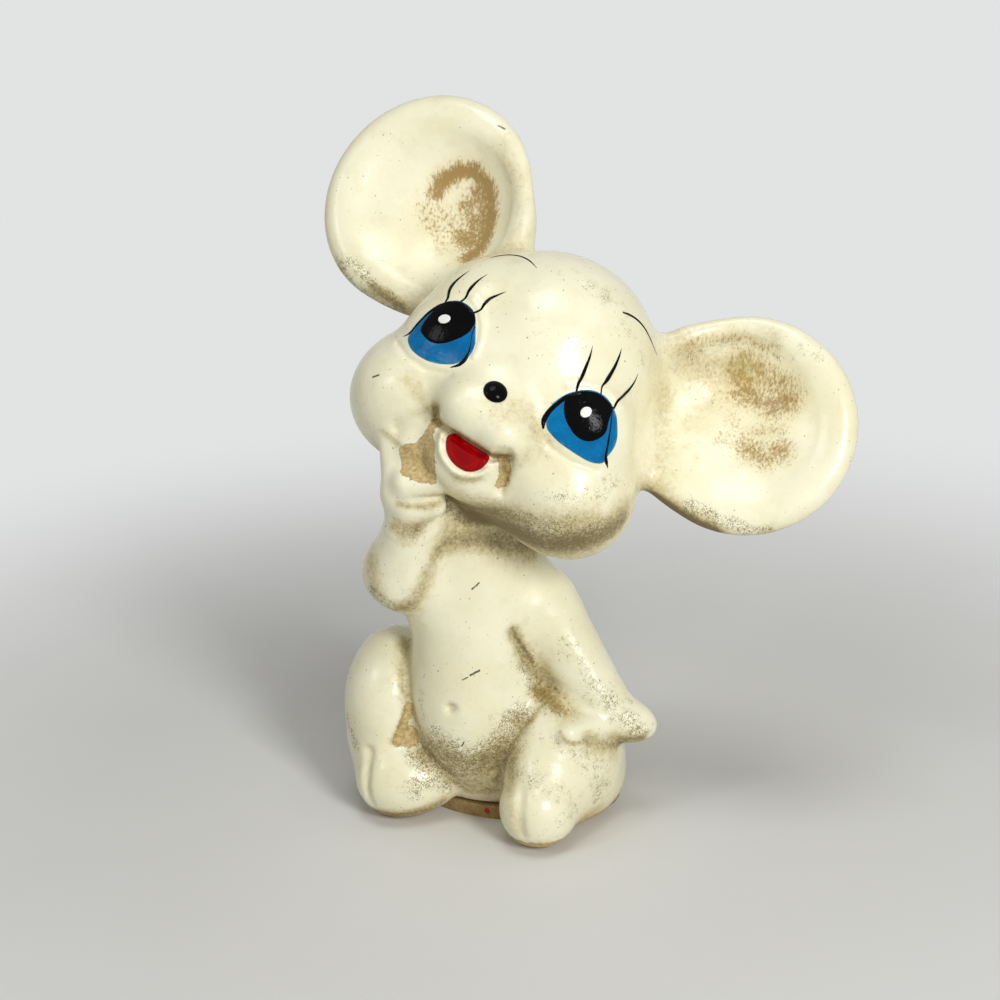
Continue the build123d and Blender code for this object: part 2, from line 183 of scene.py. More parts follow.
# Legs: haunch and foot of each leg, cast with the body and flat under the foot. A line on each
# foot sets one toe apart.
FOOT_LIFT = 0.3
LEGS = {
    "right_leg": dict(
        clay=(
            (lump, (-19.7, -6.5, 18.5), (9.0, 12, 13.5)),
            (3, limb, (-19.5, -9, 11), (-17.5, -14.4, 7.3), 8.0, 7.3),
            (3, lump, (-14, -13, 7), (8, 7, 6)),
        ),
        toe_line=((-20.9, -18.5, 13.3), (-20.8, -20.4, 9.6), (-20.4, -20.6, 4.5)),
    ),
    "left_leg": dict(
        clay=(
            (lump, (10.7, -4, 12.5), (10.4, 13, 12.5)),
            (4, lump, (12.1, -4.8, 5.5), (8.7, 12, 6.5)),
            (3.5, limb, (12.2, -9, 12), (10.2, -19.3, 6.6), 8.4, 6.8),
            (1.5, limb, (10.3, -8.5, 17), (9.9, -14.5, 11.5), 7.6, 6.8),
        ),
        toe_line=((8.3, -23.7, 12.9), (8.6, -25.9, 9.0), (8.9, -26.1, 4.5)),
    ),
}


def leg_form(p, clay, toe_line):
    form = build(p, *clay) + groove(p, toe_line, 0.9, 0.8)
    return carve(form, p[:, 2] - FOOT_LIFT, 1.2)


marks["bare"] += [
    (0.9, 1, (-13.8, -15.9, 21.5), (-15.9, -17.5, 15.3)),
    (2.1, 1.1, (-14.3, -16.2, 16)),
]
# Grime in the creases of the legs and round the feet: real dirt, and painted shade in the creases and
# along the table.
marks["grime_and_shade"] += [
    (2.2, 0.8, (-13.4, -16.4, 18), (-10.9, -17.1, 13)),
    (0.75, 1, (-14.4, -16.1, 21.5), (-16.5, -17.8, 15.4)),
    (1.6, 0.9, (-12.8, -16.2, 20.2), (-10.8, -17.2, 16.1), (-8.4, -16.9, 10.8)),
    (1.65, 0.8, (-19.1, -19.4, 2.2), (-13.5, -19.2, 2.6), (-8.3, -16.9, 4.4)),
    (1.5, 0.45, (6, -25, 9.9), (8.7, -25.4, 5.3), (12.3, -23.2, 2.5), (19.4, -13.2, 4)),
    (0.7, 0.9, (13.5, -16.5, 19.8), (14.5, -16.9, 18.8), (15.9, -16.3, 17.9), (17.3, -14.8, 17.7)),
    (2, 1, (17.7, -14.4, 18.1), (19.4, -12.4, 16.3), (21.3, -8.6, 14.5)),
    (1.95, 0.9, (5.8, -14.4, 20.8), (7.4, -15.3, 17.2), (5.6, -19.2, 13.6), (5.3, -23.8, 11.2)),
    (2.4, 0.7, (13.2, -15.5, 17.8), (17.9, -13.3, 16), (20.8, -9.4, 13.7)),
    (0.8, 1, (10.3, -11.8, 23.9), (8.1, -14.8, 20.9), (3.7, -16.3, 15)),
]
marks["flecks"] += [
    (3, 0.8, (-12.2, -19.9, 8.1), (-6.4, -17.2, 10.8)),
    (2.6, 0.9, (-9.8, -17, 11.3), (-7.3, -16.7, 7.6)),
    (2.6, 0.6, (-25.9, -15.2, 17.4), (-24, -16.8, 13.5)),
    (3.4, 0.45, (7.5, -20.6, 14.1), (12.5, -22.9, 12), (16.2, -19.3, 8.8), (13.3, -24.5, 5.8)),
    (3.6, 0.6, (13.2, -15.6, 17.6), (18, -13.9, 13.6), (19.6, -13.4, 8.6)),
]


# Tail: a short roll of clay, pressed onto the back of the rump and round to the left.
def tail_form(p):
    return build(
        p,
        (limb, (3.0, 11.9, 11.1), (9.0, 12.5, 6.1), 2.8, 2.2),
        (1.5, limb, (9.0, 12.5, 6.1), (16.0, 9.3, 3.9), 2.2, 1.4),
    )


# Head: a hollow casting with full cheeks, a blunt muzzle, a small chin and a mound for each eye.
# It turns, looks up and leans to the mouse's left.
HEAD_MIDDLE = np.array((4.9, -5.7, 75.3), np.float32)
HEAD_TURN = (
    Matrix.Rotation(radians(6.8), 3, "Z")
    @ Matrix.Rotation(radians(-22.1), 3, "X")
    @ Matrix.Rotation(radians(31.7), 3, "Y")
)
HEAD_AXES = np.array(HEAD_TURN, np.float32)
# Lines tooled into the face: their places out to the left and up, their width and their depth.
FACE_LINES = (
    (((-7.4, -8.4), (-6.6, -9.9), (-3.3, -10.3), (1.1, -10.4), (4.9, -9.9), (7.2, -8.0)), 0.75, 1.2),
    (((7.4, -9.4), (8.0, -13.4)), 1.1, 1.0),
    (((-7.6, -9.0), (-9.4, -11.6), (-11.6, -14.6)), 1.3, 0.9),
    (((-3.9, -11.2), (-3.6, -12.5), (-2.7, -13.7), (-1.2, -14.6), (0.6, -15.1), (2.5, -15.0),
      (4.1, -14.1), (5.0, -13.1), (5.4, -12.2)), 0.7, -0.75),
    (((-12.6, 9.5), (-10.4, 8.7), (-8.5, 7.0), (-7.1, 4.6), (-6.6, 2.0)), 0.6, -0.3),
    (((8.6, 6.2), (10.4, 8.1), (12.8, 9.1), (15.0, 9.1), (17.2, 8.0)), 0.6, -0.3),
    (((-19.4, -3.2), (-16.2, -4.2), (-12.2, -4.1), (-8.2, -2.6)), 0.6, 0.22),
    (((8.2, -2.2), (11.4, -3.4), (15.4, -3.6), (19.4, -2.6)), 0.6, 0.22),
)


def to_head(p):
    """Places in the head's own directions: out to its left, back, and up to its crown."""
    return (p - HEAD_MIDDLE) @ HEAD_AXES


def head_form(p):
    q = to_head(p)
    form = build(
        q,
        (lump, (0, 1, 8), (18.6, 18.5, 18.3)),
        (9, lump, (0, 0, -6), (23, 17, 14.5)),
        (6, lump, (-15.3, -4.2, -9.6), (9.7, 12.0, 10.0)),
        (6, lump, (16.9, -4, -8.6), (10.2, 11.8, 10.3)),
        (4, lump, (0, -13.5, -4.8), (9.0, 8.3, 6.6)),
        (2.2, lump, (4.6, -15.8, -5.9), (4.6, 6.2, 4.2)),
        (2.2, lump, (-3.0, -16.0, -5.5), (4.6, 6.0, 4.2)),
        (3, lump, (0.5, -11.5, -13.5), (7.5, 6.5, 5.5)),
        (5, lump, (-12.9, -9.9, 2.6), (7.6, 6.0, 6.6)),
        (5, lump, (12.9, -9.9, 2.6), (7.6, 6.0, 6.6)),
        (5, lump, (-12.5, -4, 9.5), (8.0, 9.4, 8.0)),
    )
    face = q[:, 1] < 0
    flat = q[face]
    flat[:, 1] = 0
    for points, width, depth in FACE_LINES:
        form[face] += groove(flat, [(x, 0, z) for x, z in points], width, depth)
    return form


marks["bare"] += [
    (1.1, 1.1, (-3.8, -23.3, 75.9), (-5, -24.6, 73.8), (-6.9, -24.2, 71.6), (-8.9, -24.1, 71.2)),
    (1.1, 1.1, (-9.4, -24.1, 71), (-8.6, -25.6, 68.5), (-6.1, -26, 67.8), (-4.2, -26.1, 67.6)),
    (1.9, 1.2, (-6.9, -24.4, 69.8), (-4.7, -25.8, 70.2)),
    (1.1, 1.1, (-4.1, -25.6, 73), (-4, -26.2, 68.3)),
    (1, 1.1, (7.9, -25, 71.2), (7.8, -24.2, 69.1), (6.8, -24.1, 66.8)),
]
# Grime round the muzzle and eyes and under the chin: real dirt, and painted shade in the creases, on
# the muzzle and under the head.
marks["grime_and_shade"] += [
    (1.65, 0.5, (-8.9, -21.8, 82.9), (-6.3, -22.9, 79.6), (-4.8, -22.3, 76.7)),
    (1.05, 0.9, (0.5, -26.5, 75.8), (4.6, -27, 73.7), (8.1, -25.5, 71.9)),
    (1.2, 0.6, (0.5, -28.5, 68.5), (4.1, -28, 68.4)),
    (1.5, 0.3, (-12.7, -16.3, 88.6), (-10.2, -14.2, 91.9), (-5.6, -14, 94.6)),
    (0.9, 0.8, (-13.7, -22.2, 73.8), (-9.8, -23.9, 71.6)),
    (2.1, 0.4, (5.7, -5.9, 99.3), (6.8, -0.8, 99.5)),
    (3.6, 1.25, (-1.9, -15.2, 58.2), (9.4, -22.4, 57.7), (19.1, -24, 58), (25.4, -18.1, 60.1)),
    (3, 0.8, (-3.8, -17.5, 60.9), (5.1, -21.9, 60.8), (14.7, -25.7, 61.3), (21.9, -23.7, 61.5)),
    (1, 1, (7.7, -24.8, 70.7), (8, -24, 67.4)),
    (4, 0.42, (8, -26.6, 79.9), (12.1, -23.8, 78.4), (14.3, -23, 75.9)),
]
marks["flecks"] += [
    (3.4, 1.3, (-3.4, -17.2, 60.5), (0.9, -17.1, 58.3), (9.6, -23, 58.4), (16.8, -24.6, 58),
     (22.6, -21.7, 58.3)),
    (3, 0.55, (16.4, -25.6, 65.9), (21, -24.2, 65), (24.6, -19.2, 66.9)),
    (3.6, 0.36, (12.4, -5.7, 98.8), (19.5, -7.2, 95.1), (24.7, -7.1, 88.6), (26.8, -5.2, 79.8)),
    (2, 0.35, (-18.8, 0.2, 91.5), (-13.8, 4.4, 93.7), (-2.9, -6, 98.6)),
    (3, 0.35, (12.9, -17.1, 90.6), (18.4, -16.2, 87.4)),
    (2.2, 0.3, (2.5, -24.3, 83.8), (4.8, -28.1, 78.5)),
    (3, 0.9, (-0.2, -18.9, 60.2), (10.1, -24.3, 60.8), (18.6, -25.1, 60)),
]


# Ears: two round dishes of clay with a thick soft rim. Each is luted to the head by a root, and
# its hollow is deepest towards the head.
EARS = {
    "right_ear": dict(
        middle=(-34.3, 6.5, 19.8), round=(18.1, 19.5), look=(-0.11, -0.95, 0.08), deep=(6.0, 0, 2.0)
    ),
    "left_ear": dict(
        middle=(33.2, 6.5, 17.2), round=(18.7, 18.6), look=(-0.048, -0.95, 0.08), deep=(-5.4, 0, 4.6)
    ),
}
EAR_ROOT_TARGET = (0, 4, 5)


def square_axes(look, across):
    """Three directions square to each other: across, up, and the way a form looks."""
    look = np.asarray(look, float) / np.linalg.norm(look)
    across = np.asarray(across, float)
    across = across - look * (across @ look)
    across = across / np.linalg.norm(across)
    return np.stack([across, np.cross(look, across), look], 1).astype(np.float32)


def ear_form(p, middle, round, look, deep):
    q = to_head(p)
    middle = np.array(middle)
    inward = np.array(EAR_ROOT_TARGET) - middle
    inward = inward / np.linalg.norm(inward)
    axes = square_axes(look, (1, 0, 0))
    root_axes = square_axes(look, inward)
    look = axes[:, 2]
    dish = build(
        q,
        (lump, middle, (*round, 5.6), axes),
        (4, lump, middle + inward * 10, (12, 14, 4.4), root_axes),
    )
    hollow = build(
        q,
        (lump, middle + look * 8.0, (round[0] - 0.8, round[1] - 0.8, 8.7), axes),
        (5, lump, middle + look * 5.2 + deep, (9.5, 10.5, 8.2), axes),
        (5, lump, middle + look * 6.4 + inward * 9, (9, 9, 6), root_axes),
    )
    return carve(dish, hollow, 3.2)


# Grime in the ear bowls and under the ears: real dirt, and painted shade under the rims and inside the
# bowls.
marks["grime_and_shade"] += [
    (1.5, 0.6, (-29.8, 3.2, 94.6)),
    (2.7, 0.3, (-3.7, 15, 115.3), (-1.1, 12.9, 108.8), (1.7, 7.6, 101.3)),
    (3.3, 0.4, (-17.1, 0.3, 88.2), (-12.9, 1.8, 92.4), (-2.7, -6.7, 98.7), (1.6, 4.5, 98.5)),
    (3.6, 0.5, (27, -0.7, 83.7), (27.6, 2.7, 74.1), (28.6, -1.8, 66.8), (28.1, -5.8, 61.4)),
    (4.2, 0.8, (30.3, 6.1, 81.7), (34.5, 8.9, 78.7), (39.9, 10.2, 78.6)),
    (4.5, 0.35, (32.9, 6.6, 74.2), (32.3, 1.6, 67.7)),
    (3, 0.4, (-2.5, -6.4, 98.8), (-13.4, 9, 96.7)),
    (1.6, 1.4, (28.1, -4.9, 59.5), (32.5, -5.5, 57), (38, -6.2, 54.6)),
    (2.4, 0.55, (32.7, 7.9, 81.7), (38.2, 10, 83.5), (45.1, 9.7, 83.9)),
    (1.2, 1.1, (-23.1, 0.7, 92.1), (-20, 0.1, 90.6), (-17.5, -0.1, 89.2)),
]
marks["flecks"] += [
    (1.6, 0.8, (-29.7, 3, 95.7), (-27.4, 2.3, 92.3), (-18.5, 0.7, 88.2)),
    (2.2, 0.95, (33.9, -5.9, 56.9)),
    (1.4, 0.6, (45.1, 9.7, 80.6), (52.6, 8.3, 81.4)),
    (2, 0.8, (34, -6.1, 58.3), (39.4, -6.3, 56.4), (46.3, -4.8, 54.6)),
    (2, 0.5, (31.2, 6.9, 80.5), (38.2, 10.1, 83.1), (49.5, 8.6, 82.3)),
    (1.6, 0.9, (-27.2, 2.4, 95.9), (-23.1, 0.8, 92.6), (-19.3, 0, 90.1)),
]
marks["stain"] += [
    (2, 1.25, (-15.5, 14.3, 106.1), (-14.1, 15.3, 108.3), (-11.5, 15.9, 109.6), (-8.8, 16, 109.6),
     (-6.5, 15.4, 107.2), (-5.5, 14.2, 104.1), (-5.3, 11.9, 100.6), (-6.2, 9.5, 97.6), (-8.1, 8.2, 96)),
    (2.8, 1, (-9.5, 14.8, 103.6), (-8, 13, 100.8), (-8.2, 10.6, 98), (-10.4, 11.8, 99)),
    (2.6, 0.62, (-17.1, 12.8, 104.1), (-15.6, 11.8, 101), (-12.9, 10.9, 98.5), (-11.8, 12.8, 100.5),
     (-14.6, 13.4, 102.8)),
    (1.5, 0.62, (31.2, 6.7, 82.8), (35, 8.9, 83.6), (39.9, 10.3, 83.2), (45.1, 9.8, 81.5)),
    (3.4, 0.94, (39.1, 9.8, 77.3), (42, 8.5, 74.1), (45.7, 7, 73), (48.2, 6.9, 74.4)),
    (3, 0.88, (41.3, 2.8, 66.8), (45, 1.7, 65.5), (47.6, 2.5, 66.8)),
    (2.6, 0.5, (38.7, 6.4, 71), (38.9, 3.6, 67.9)),
    (2.8, 0.75, (44, 9.5, 77.6), (48, 7.8, 76.4)),
    (2.2, 1.1, (-8.2, 15.5, 106.1), (-6.5, 13.8, 102.6), (-6.7, 11.1, 98.9)),
    (3, 0.45, (32.7, 7.8, 78.2), (36.1, 7.8, 74)),
    (3.4, 0.8, (39.9, 10.3, 79.6), (43.5, 9.6, 77.4), (47.2, 7.8, 75.5)),
    (2.6, 0.8, (38.6, 8.4, 74), (43.9, 7.4, 72.8), (48.4, 6.1, 72.9)),
    (2.6, 0.6, (37.5, 3.1, 67.6), (42, 4.2, 68.4), (47, 4.4, 69.5)),
]


# Arms: the left one straight, its hand on the thigh; the right one bent up, its hand against the
# cheek with one finger along it and two across. Both are cast with the body.
def left_arm_form(p):
    hand_axes = square_axes((0.25, 0.3, 0.9), (0.9, 0.2, -0.35))
    form = build(
        p,
        (limb, (7, -3.7, 38), (17, -5.8, 23.5), 6.3, 4.9),
        (3.5, lump, (20.8, -5.9, 18.8), (7.2, 4.2, 4.1), hand_axes),
    )
    form = form + groove(p, UNDERARM_LINE, 0.8, 0.9)
    thumb = limb(p, (18.5, -9.5, 19), (14.7, -14.8, 19.1), 2.4, 2.0)
    return join(form, thumb, 1.0)


def right_arm_form(p):
    return build(
        p,
        (limb, (-8.4, -7.5, 39.6), (-13.2, -15, 47), 7, 6.5),
        (4, limb, (-13.4, -16.5, 47.5), (-10.6, -20.4, 56.5), 6.4, 4.4),
        (3, lump, (-7.0, -15.5, 57.5), (3.4, 4.6, 5.6)),
        (2.0, lump, (-9.7, -21.9, 62.3), (4.7, 3.5, 5.0)),
        (1.5, limb, (-10.9, -22.4, 64.0), (-13.3, -20.9, 72.2), 3.2, 1.5),
        (1.5, lump, (-8.3, -21.7, 69.3), (4.4, 2.7, 4.8)),
        (1.4, limb, (-8.9, -24.2, 65.9), (-4.6, -23.9, 66.3), 2.7, 2.3),
        (1.7, limb, (-8.9, -23.2, 61.4), (-5.1, -22.7, 61.7), 2.4, 2.0),
    )


# Grime round the fingers, wrist and forearm: real dirt, and painted shade in the creases and under the
# hand.
marks["grime_and_shade"] += [
    (0.83, 1, (-10.1, -25.8, 62.6), (-6, -25, 62.1), (-2.9, -24, 62.7)),
    (2, 1, (-11.2, -24.7, 58.1), (-9.7, -24.7, 57.2), (-8, -24.1, 57.6)),
    (2.6, 0.8, (-4.1, -18.2, 56.2), (-2.7, -16.5, 53.4)),
    (2.1, 0.9, (-6.4, -18.5, 53.1), (-7.3, -20.6, 49.4), (-8.6, -21.3, 45.9), (-11.7, -21.3, 42.6)),
    (1.5, 0.8, (16.6, -13.6, 18), (19.5, -11.2, 16.1), (25.4, -7.8, 16.1)),
    (2.8, 0.8, (-17, -21.7, 50.8), (-16, -22.6, 46.2)),
]
marks["flecks"] += [
    (2, 0.5, (-10.9, -24.8, 58.2), (-8.9, -24.5, 56.5), (-6.5, -23.2, 58.8)),
    (1.8, 0.9, (-14.3, -20.6, 41.7)),
    (3, 0.8, (18.9, -9.9, 25.5), (23.1, -9, 20.8), (25.5, -8.3, 17.3)),
    (2.8, 0.6, (13.3, -9.4, 34), (17.2, -10, 27.2)),
    (2, 0.9, (-16.8, -22, 45.1), (-13.9, -21.6, 42.7)),
    (2, 0.7, (19, -4.4, 29.7), (23.6, -6.1, 22.4)),
]


# The castings luted together: the clay parts are stuck with slip while damp and their seams wiped
# smooth, so one skin runs over them all. Then the figure is fired and painted cream, cold.
def leg_of(name):
    """One leg's form, from its own sizes."""
    return lambda p: leg_form(p, **LEGS[name])


def ear_around(name):
    """An ear's form and the ball around it."""
    middle = HEAD_MIDDLE + HEAD_AXES @ np.array(EARS[name]["middle"], np.float32)
    return near_only(lambda p: ear_form(p, **EARS[name]), middle, 26)


CLAY_FORMS = {
    "torso": near_only(torso_form, (-2, -4, 30), 34),
    "right_leg": near_only(leg_of("right_leg"), (-18, -9, 15), 20),
    "left_leg": near_only(leg_of("left_leg"), (11, -10, 12), 22),
    "tail": near_only(tail_form, (9, 11, 7), 11),
    "head": near_only(head_form, HEAD_MIDDLE, 30),
    "right_ear": ear_around("right_ear"),
    "left_ear": ear_around("left_ear"),
    "left_arm": near_only(left_arm_form, (15, -6, 27), 21),
    "right_arm": near_only(right_arm_form, (-10, -17, 54), 24),
}
CREASES = {"right_leg": 1.4, "left_leg": 1.4, "tail": 2.0}   # how soft each is wiped


def ring_room(p):
    """Room that the legs leave free for the foot ring."""
    around = lump(p * (1, 1, 0), (0, 0, 0), (*RING_ROOM, 1))
    return np.maximum(around, p[:, 2] - RING_TOP).astype(np.float32)


def ramp(values, none, full):
    """0 at one value and 1 at another, even between them and held beyond."""
    return np.clip((values - none) / (full - none), 0, 1)


def clay_skin(p):
    """Distance to the luted figure, and to each of its castings."""
    part = {name: form(p) for name, form in CLAY_FORMS.items()}
    for leg in LEGS:
        part[leg] = carve(part[leg], ring_room(p), 0.5)
    skin = part["torso"]
    for name, softness in CREASES.items():
        skin = join(skin, part[name], softness)
    shoulder = ramp(p[:, 2], 30, 38)
    skin = join(skin, part["left_arm"], 1.6 + 4.4 * shoulder)
    crown = join(join(part["head"], part["right_ear"], 4), part["left_ear"], 4)
    throat = ramp(p[:, 0], 6, -2)
    skin = join(skin, crown, 2.2 + 3.6 * throat)
    forearm = ramp(p[:, 2], 62, 56)
    return join(skin, part["right_arm"], 1.3 + 1.7 * forearm), part


def clay_slope(p, step=0.06):
    """Which way the skin's distance grows, at each point."""
    slope = np.empty_like(p)
    for axis in range(3):
        nudge = np.zeros(3, np.float32)
        nudge[axis] = step
        slope[:, axis] = (clay_skin(p + nudge)[0] - clay_skin(p - nudge)[0]) / (2 * step)
    return slope


def skin_facing(p):
    """Which way the skin faces at each point."""
    slope = clay_slope(p)
    return slope / np.linalg.norm(slope, axis=1)[:, None]


CELL = 0.42
BLOCK = 8
BLOCK_REACH = CELL * BLOCK * 0.87 + 2.5   # half a block's diagonal, and room for the soft creases
BATCHES = 12          # how many lots the cells near the skin are worked out in
ROOM_MARGIN = 3       # free room around the figure in the grid
LONGEST_FALL = 0.4    # how far a point is moved at once onto the skin
SEAM_LIP = 1.2        # how far a casting's edge is turned in behind a seam
HUB_COVER = 3         # clay over the middle point that closes a casting inside


def clear_doubtful_squares(grid):
    """Where only opposite corners of a grid square are clay, the faintest corner changes over."""
    doubtful = True
    while doubtful:
        doubtful = False
        for axis in range(3):
            sheets = np.moveaxis(grid, axis, 0)
            solid = sheets < 0
            a, b, c, d = solid[:, :-1, :-1], solid[:, 1:, :-1], solid[:, :-1, 1:], solid[:, 1:, 1:]
            for i, j, k in np.argwhere((a == d) & (b == c) & (a != b)):
                square = sheets[i, j:j + 2, k:k + 2]
                faint = np.unravel_index(np.abs(square).argmin(), (2, 2))
                square[faint] = -square[faint] or 0.01
                doubtful = True


def every_cell(*counts):
    """The numbers of all cells of a block, along its three sides."""
    return np.stack(np.meshgrid(*map(np.arange, counts), indexing="ij"), -1).reshape(-1, 3)


def mesh_skin():
    """The skin as points and four-sided faces, from a grid of cells that it passes through."""
    low, high = (np.array(corner, np.float32) / MILLIMETRE for corner in cad_box)
    low -= ROOM_MARGIN
    blocks = np.ceil((high + ROOM_MARGIN - low) / (CELL * BLOCK)).astype(int)
    spots = every_cell(*blocks)
    middles = low + (spots + 0.5).astype(np.float32) * CELL * BLOCK
    coarse = clay_skin(middles.astype(np.float32))[0]
    count = blocks * BLOCK
    grid = np.repeat(coarse.reshape(blocks), BLOCK, 0).repeat(BLOCK, 1).repeat(BLOCK, 2)
    inner = every_cell(BLOCK, BLOCK, BLOCK)
    for batch in np.array_split(spots[np.abs(coarse) < BLOCK_REACH], BATCHES):
        cells = (batch[:, None, :] * BLOCK + inner).reshape(-1, 3)
        grid[tuple(cells.T)] = clay_skin((low + cells * CELL).astype(np.float32))[0]
    clear_doubtful_squares(grid)
    solid = grid < 0
    corners = every_cell(2, 2, 2)
    size = count - 1
    filled = sum(
        solid[i:i + size[0], j:j + size[1], k:k + size[2]].astype(np.uint8) for i, j, k in corners
    )
    cells = np.argwhere((filled > 0) & (filled < 8))
    total = np.zeros((len(cells), 3))
    hits = np.zeros(len(cells))
    for axis in range(3):
        for corner in corners[corners[:, axis] == 0]:
            start = cells + corner
            end = start.copy()
            end[:, axis] += 1
            a, b = grid[tuple(start.T)], grid[tuple(end.T)]
            cut = (a < 0) != (b < 0)
            place = corner + np.zeros((len(cells), 3))
            place[cut, axis] += (a / (a - b + 1e-12))[cut]
            total[cut] += place[cut]
            hits[cut] += 1
    points = (low + (cells + total / hits[:, None]) * CELL).astype(np.float32)
    number = np.full(size, -1, np.int32)
    number[tuple(cells.T)] = np.arange(len(cells))
    faces = []
    for axis in range(3):
        u, v = (axis + 1) % 3, (axis + 2) % 3
        here = [slice(1, n - 1) for n in count]
        there = list(here)
        here[axis], there[axis] = slice(0, count[axis] - 1), slice(1, count[axis])
        start, end = solid[tuple(here)], solid[tuple(there)]
        for outward in (True, False):
            edges = np.argwhere((start & ~end) if outward else (~start & end))
            edges += [0 if n == axis else 1 for n in range(3)]
            ring = []
            for du, dv in ((-1, -1), (0, -1), (0, 0), (-1, 0)):
                cell = edges.copy()
                cell[:, u] += du
                cell[:, v] += dv
                ring.append(number[tuple(cell.T)])
            ring = np.stack(ring, 1)
            faces.append(ring if outward else ring[:, ::-1])
    return points, np.concatenate(faces)


skin_points, skin_faces = mesh_skin()
for _ in range(2):
    slope = clay_slope(skin_points)
    fall = clay_skin(skin_points)[0] / np.maximum((slope**2).sum(1), 0.25)
    skin_points -= np.clip(fall, -LONGEST_FALL, LONGEST_FALL)[:, None] * slope
skin_normals = skin_facing(skin_points)


def largest_patches(owner, beside):
    """Faces of a casting that lie apart from its main patch go to the casting around them."""
    for _ in range(4):
        same = owner[beside[:, 0]] == owner[beside[:, 1]]
        patch = np.arange(len(owner))
        pairs = beside[same]
        while True:
            before = patch.copy()
            low = np.minimum(patch[pairs[:, 0]], patch[pairs[:, 1]])
            np.minimum.at(patch, pairs[:, 0], low)
            np.minimum.at(patch, pairs[:, 1], low)
            patch = patch[patch]
            if (patch == before).all():
                break
        sizes = np.bincount(patch, minlength=len(owner))
        main = {patch[np.argmax((owner == part) * sizes[patch])] for part in np.unique(owner)}
        stray = ~np.isin(patch, list(main))
        if not stray.any():
            break
        a, b = beside[~same].T
        for one, other in ((a, b), (b, a)):
            moved = stray[one] & ~stray[other]
            owner[one[moved]] = owner[other[moved]]
    return owner


def sides(faces):
    """The sides of the faces: the first side of each, then the second of each, and so on."""
    return np.concatenate([faces[:, (n, (n + 1) % 4)] for n in range(4)])


def share_out(points, faces):
    """Which casting each face of the skin belongs to."""
    part = clay_skin(points[faces].mean(1))[1]
    owner = np.argmin(np.stack([part[name] for name in CLAY_FORMS], 1), 1)
    face = np.tile(np.arange(len(faces)), 4)
    key = np.sort(sides(faces), 1) @ np.array((1 << 32, 1))
    order = np.argsort(key, kind="stable")
    pair = np.flatnonzero(key[order][:-1] == key[order][1:])
    beside = np.stack([face[order[pair]], face[order[pair + 1]]], 1)
    for _ in range(6):
        owner = largest_patches(owner, beside)
        mixed = owner[beside[:, 0]] != owner[beside[:, 1]]
        votes = np.zeros((len(faces), len(CLAY_FORMS)), np.int8)
        np.add.at(votes, (beside[:, 0], owner[beside[:, 1]]), 1)
        np.add.at(votes, (beside[:, 1], owner[beside[:, 0]]), 1)
        owner = np.where(votes.max(1) >= 3, votes.argmax(1), owner)
        if not mixed.any():
            break
    return largest_patches(owner, beside)


def deep_inside(place):
    """The place itself, or moved down under the skin until enough clay covers it."""
    place = np.array([place], np.float32)
    for _ in range(12):
        cover = clay_skin(place)[0]
        place -= np.clip(cover + HUB_COVER, 0, 1)[:, None] * clay_slope(place)
    return place[0]


def closed_patch(faces):
    """A casting's share of the skin, closed inside by a lip behind each seam and a cone of faces."""
    known = {(a, b) for a, b in sides(faces).tolist()}
    follow = {}
    for a, b in known:
        if (b, a) not in known:
            follow.setdefault(b, []).append(a)
    extra, caps = [], []
    while follow:
        path = [next(iter(follow))]
        while path:
            ahead = follow[path[-1]]
            here = ahead.pop()
            if not ahead:
                del follow[path[-1]]
            if here not in path:
                path.append(here)
                continue
            turn = path.index(here)
            loop, path = path[turn:], path[:turn]
            lip = skin_points[loop] - SEAM_LIP * skin_normals[loop]
            first = len(skin_points) + len(extra)
            extra += [*lip, deep_inside(lip.mean(0))]
            for n, a in enumerate(loop):
                m = (n + 1) % len(loop)
                b, under_a, under_b, hub = loop[m], first + n, first + m, first + len(loop)
                caps += [(a, b, under_b), (a, under_b, under_a), (under_a, under_b, hub)]
            if path:
                path.append(here)
    return extra, caps


def smooth_mesh(name, points, faces, values):
    """A smooth mesh from points in millimetres, with the values that each point carries."""
    mesh = bpy.data.meshes.new(name)
    mesh.from_pydata((points * MILLIMETRE).tolist(), [], faces)
    mesh.polygons.foreach_set("use_smooth", [True] * len(mesh.polygons))
    for label, each in values.items():
        mesh.attributes.new(label, "FLOAT", "POINT").data.foreach_set("value", each.astype(np.float32))
    return mesh


def in_scene(name, data):
    """An object of that name and data, linked into the scene."""
    made = bpy.data.objects.new(name, data)
    bpy.context.collection.objects.link(made)
    return made


def cast_mesh(name, number, wear_and_shade):
    """One casting's mesh, with the whole skin's normals kept across the seams."""
    faces = skin_faces[skin_owner == number]
    extra, caps = closed_patch(faces)
    points = np.concatenate([skin_points, np.array(extra).reshape(-1, 3)])
    normals = np.concatenate([skin_normals, np.zeros((len(extra), 3))])
    corners = np.concatenate([faces.ravel(), np.array(caps).ravel()]).astype(int)
    used, corners = np.unique(corners, return_inverse=True)
    quads, threes = corners[:faces.size].reshape(-1, 4), corners[faces.size:].reshape(-1, 3)
    wear_and_shade = {kind: np.concatenate([each, np.zeros(len(extra))])[used] for kind, each in wear_and_shade.items()}
    mesh = smooth_mesh(name, points[used], quads.tolist() + threes.tolist(), wear_and_shade)
    mesh.validate()
    mesh.normals_split_custom_set_from_vertices(normals[used].tolist())
    return mesh


def marks_at(kind):
    """How strongly one kind of mark shows at each point of the skin."""
    shown = np.zeros(len(skin_points), np.float32)
    for spread, strength, *line in marks[kind]:
        near = along_line(skin_points, line) / spread
        shown = np.maximum(shown, strength * np.exp(-(near**2)))
    return shown


